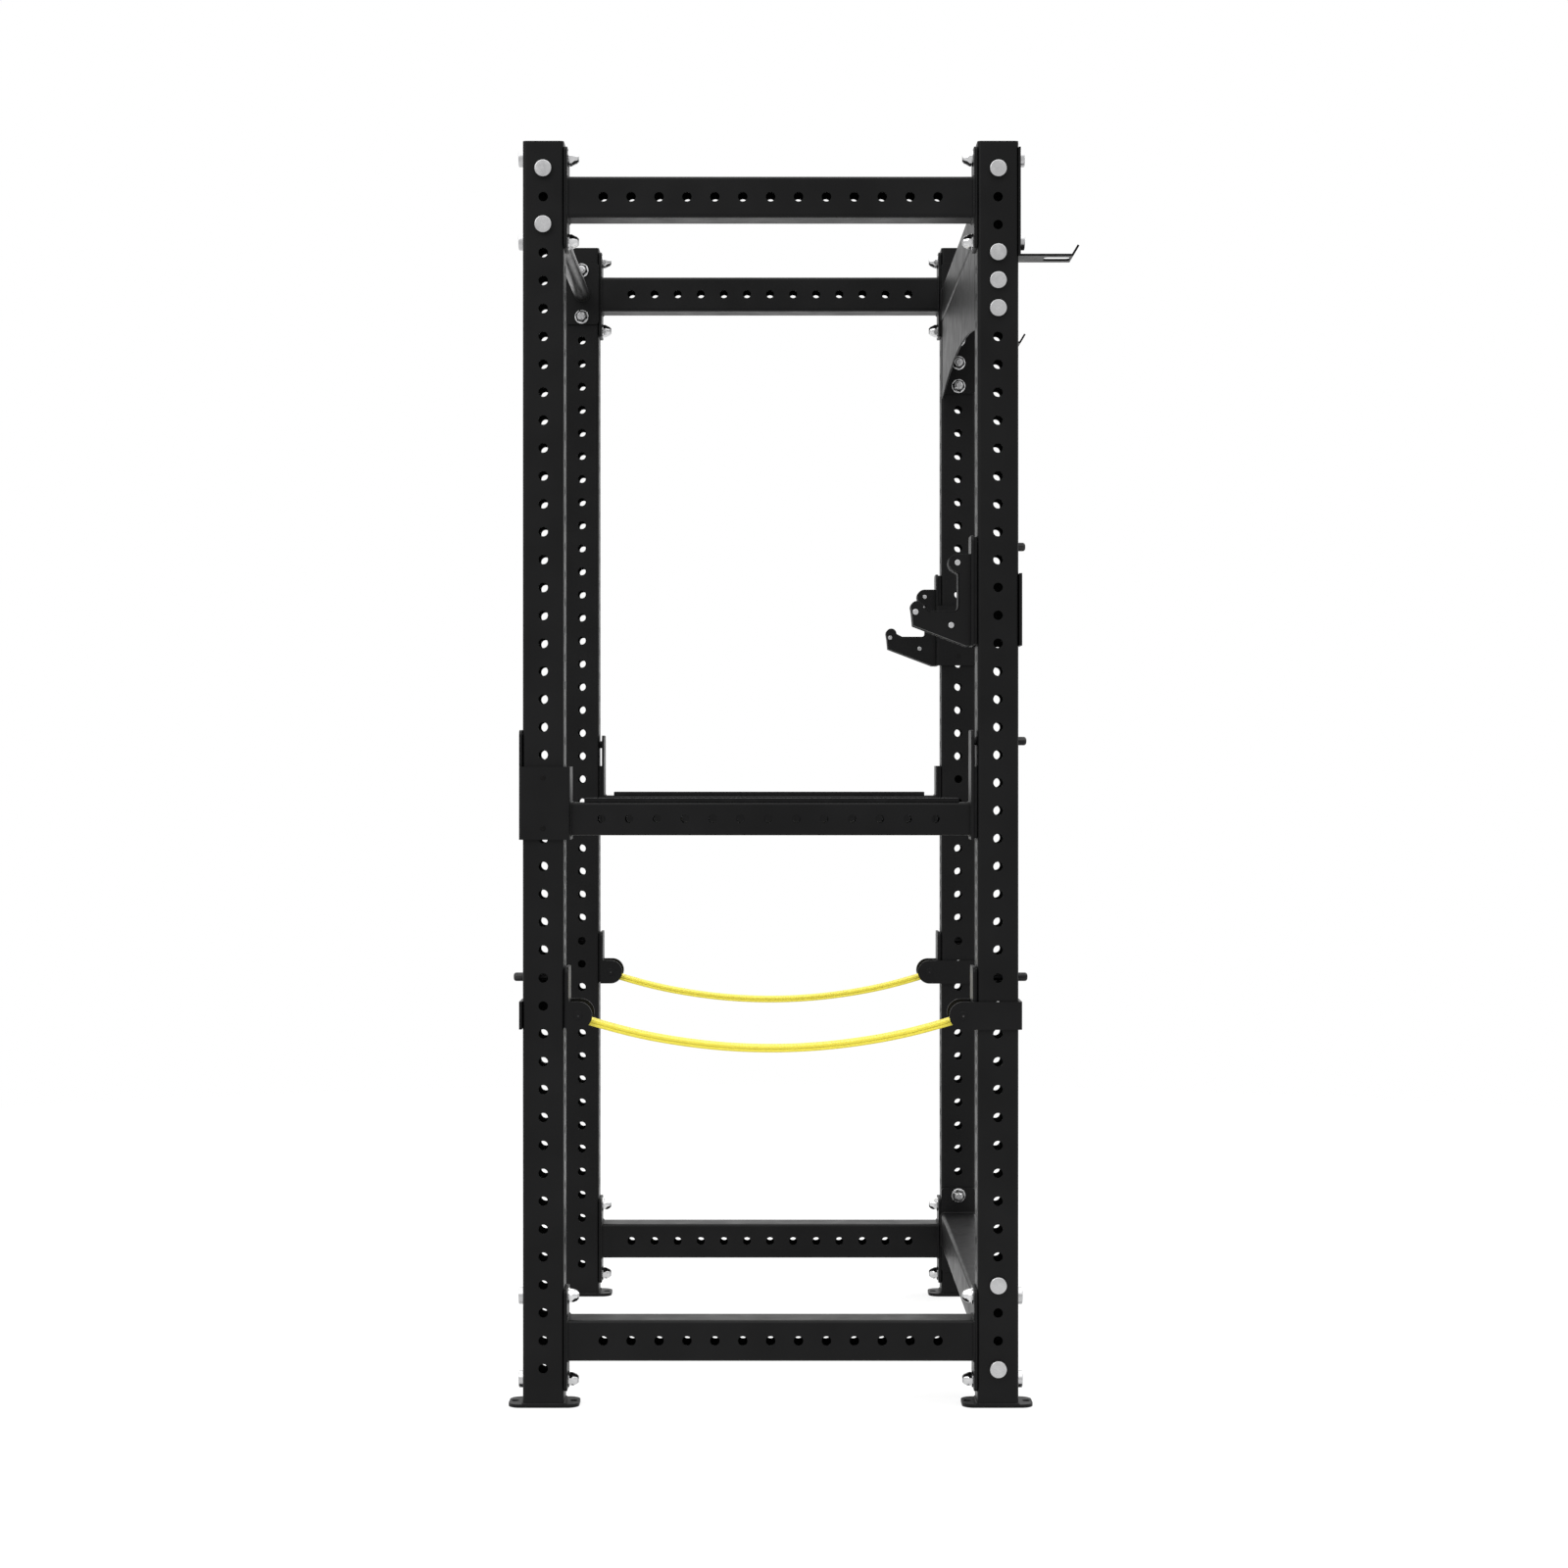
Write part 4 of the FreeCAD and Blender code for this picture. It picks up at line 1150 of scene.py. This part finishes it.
def strap(side):
    """One strap: two plies sewn together, that part round each cross pin."""
    node = "strap_" + side
    y = middle_of(node).y
    half = [(x, y, z) for x, z in STRAP_ROUTE]
    line = smooth_line(half + [(-x, y, z) for x, _, z in reversed(half)])
    total = sum((b - a).length for a, b in zip(line, line[1:]))
    sketch, weave = Sketch(), []
    seam = trimmed(line, SEAM, total - SEAM)
    sweep_web(sketch, weave, seam, 2, WEB_T / 2, SEAM)
    for start, _ in node_rods("strap_cross_pins", 1):
        if start.y * y < 0:
            continue
        centre = Vector((start.x, y, start.z))
        join, inner = seam[:2] if start.x < 0 else seam[:-3:-1]
        offset = (WEB_T - EYE_PLY) / 2
        loop = eye_line(join, (inner - join).normalized(), centre, SHANK_R + EYE_PLY / 2, offset)
        sweep_web(sketch, weave, loop, 1, EYE_PLY)
    obj = finished(node + "_webbing", sketch, "yellow_webbing", "frame", node, sharp=SHARP_COPY)
    attribute = obj.data.attributes.new("weave", "FLOAT_VECTOR", "POINT")
    attribute.data.foreach_set("vector", [c for spot in weave for c in spot])
    strap_stitches(node, line, total)


def strap_stitches(node, line, total):
    """Rows of stitches along both faces and a crossed box at each end."""
    sketch = Sketch()
    spots = [0.0]
    for first, second in zip(line, line[1:]):
        spots.append(spots[-1] + (second - first).length)

    def frame_on(sign):
        def frame_at(along):
            i = max(j for j in range(len(spots) - 1) if spots[j] <= along or j == 0)
            t = (along - spots[i]) / (spots[i + 1] - spots[i])
            tangent = (line[i + 1] - line[i]).normalized()
            normal = Vector((0, 1, 0)).cross(tangent)
            if normal.z < 0:
                normal.negate()
            return line[i].lerp(line[i + 1], t), tangent, normal * sign
        return frame_at

    box_end = SEWING + BOX_LENGTH
    for sign in (1, -1):
        frame_at = frame_on(sign)
        for across in ROWS:
            stitch_row(sketch, frame_at, (box_end, across), (total - box_end, across))
        wide = BOX_WIDTH / 2
        for near, far in ((SEWING, box_end), (total - box_end, total - SEWING)):
            corners = [(near, -wide), (far, -wide), (far, wide), (near, wide)]
            for first, second in zip(corners, corners[1:] + corners[:1]):
                stitch_row(sketch, frame_at, first, second)
            stitch_row(sketch, frame_at, corners[0], corners[2])
            stitch_row(sketch, frame_at, corners[1], corners[3])
    finished(node + "_stitching", sketch, "yellow_webbing", "frame", sharp=SHARP_SOFT, material=THREAD)


# ---- stage

def camera():
    data = bpy.data.cameras.new("camera")
    data.lens = CAMERA_LENS
    data.sensor_width = SENSOR
    data.shift_x, data.shift_y = CAMERA_SHIFT
    data.clip_end = VIEW_END
    obj = placed("camera", data)
    obj.location = CAMERA_PLACE
    obj.rotation_euler = (math.pi / 2, 0, 0)
    bpy.context.scene.camera = obj


def floor():
    sketch = Sketch()
    half = FLOOR_SIZE / 2
    sketch.face(sketch.loop([(-half, -half, 0), (half, -half, 0), (half, half, 0), (-half, half, 0)]))
    obj = piece("floor", sketch)
    material, tree, shader = principled("floor_white", Roughness=0.9, Specular_IOR_Level=0.0)
    paint(tree, shader, noise(tree, 0.8, 2.0), (0.90, 0.90, 0.90), (0.93, 0.93, 0.93))
    glow = added(tree, "Emission", Color=(1, 1, 1, 1))
    place = added(tree, "TexCoord")
    distance = added(tree, "VectorMath")
    distance.operation = "LENGTH"
    tree.links.new(place.outputs["Object"], distance.inputs[0])
    mix = added(tree, "MixShader")
    share = spread(tree, distance.outputs["Value"], FLOOR_SHARE, 1.0, *FLOOR_GROWS)
    tree.links.new(share, mix.inputs["Fac"])
    tree.links.new(shader.outputs["BSDF"], mix.inputs[1])
    tree.links.new(glow.outputs["Emission"], mix.inputs[2])
    tree.links.new(mix.outputs["Shader"], tree.nodes["Material Output"].inputs["Surface"])
    obj.data.materials.append(material)


def area_light(name, place, size, power):
    data = bpy.data.lights.new(name, "AREA")
    data.shape = "SQUARE"
    data.size = size
    data.energy = power
    obj = placed(name, data)
    obj.location = place
    obj.rotation_euler = (Vector(LIT_PLACE) - Vector(place)).to_track_quat("-Z", "Y").to_euler()


def lights():
    """An even white studio with a brighter ceiling and two large soft lamps."""
    world = bpy.data.worlds.new("studio")
    bpy.context.scene.world = world
    world.use_nodes = True
    tree = world.node_tree
    background = tree.nodes["Background"]
    dial(background, Color=(1, 1, 1, 1))
    direction = added(tree, "TexCoord").outputs["Generated"]
    height = added(tree, "SeparateXYZ")
    tree.links.new(direction, height.inputs["Vector"])
    overhead = spread(tree, height.outputs["Z"], 1.0, ZENITH, *CEILING)
    tree.links.new(overhead, background.inputs["Strength"])
    for lamp in LAMPS:
        area_light(*lamp)
    bpy.context.scene.view_settings.view_transform = "Standard"


# ---- build

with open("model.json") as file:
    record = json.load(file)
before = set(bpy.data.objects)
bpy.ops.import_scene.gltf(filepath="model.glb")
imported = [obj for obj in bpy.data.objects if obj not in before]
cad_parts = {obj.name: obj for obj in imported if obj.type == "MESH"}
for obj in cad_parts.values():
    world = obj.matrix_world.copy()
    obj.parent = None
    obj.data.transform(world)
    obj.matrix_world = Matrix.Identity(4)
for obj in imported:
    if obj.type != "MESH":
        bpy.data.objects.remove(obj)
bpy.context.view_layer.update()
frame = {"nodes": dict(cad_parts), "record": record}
BODY_OF = {n: b for b, nodes in frame["record"]["behaviour"]["bodies"].items() for n in nodes}
camera()
for strap_side, _ in SIDES:
    strap(strap_side)
uprights()
beams()
frame_fasteners()
pullup_bar()
end_plates()
caps()
welds()
strap_pins()
small_parts()
floor()
lights()
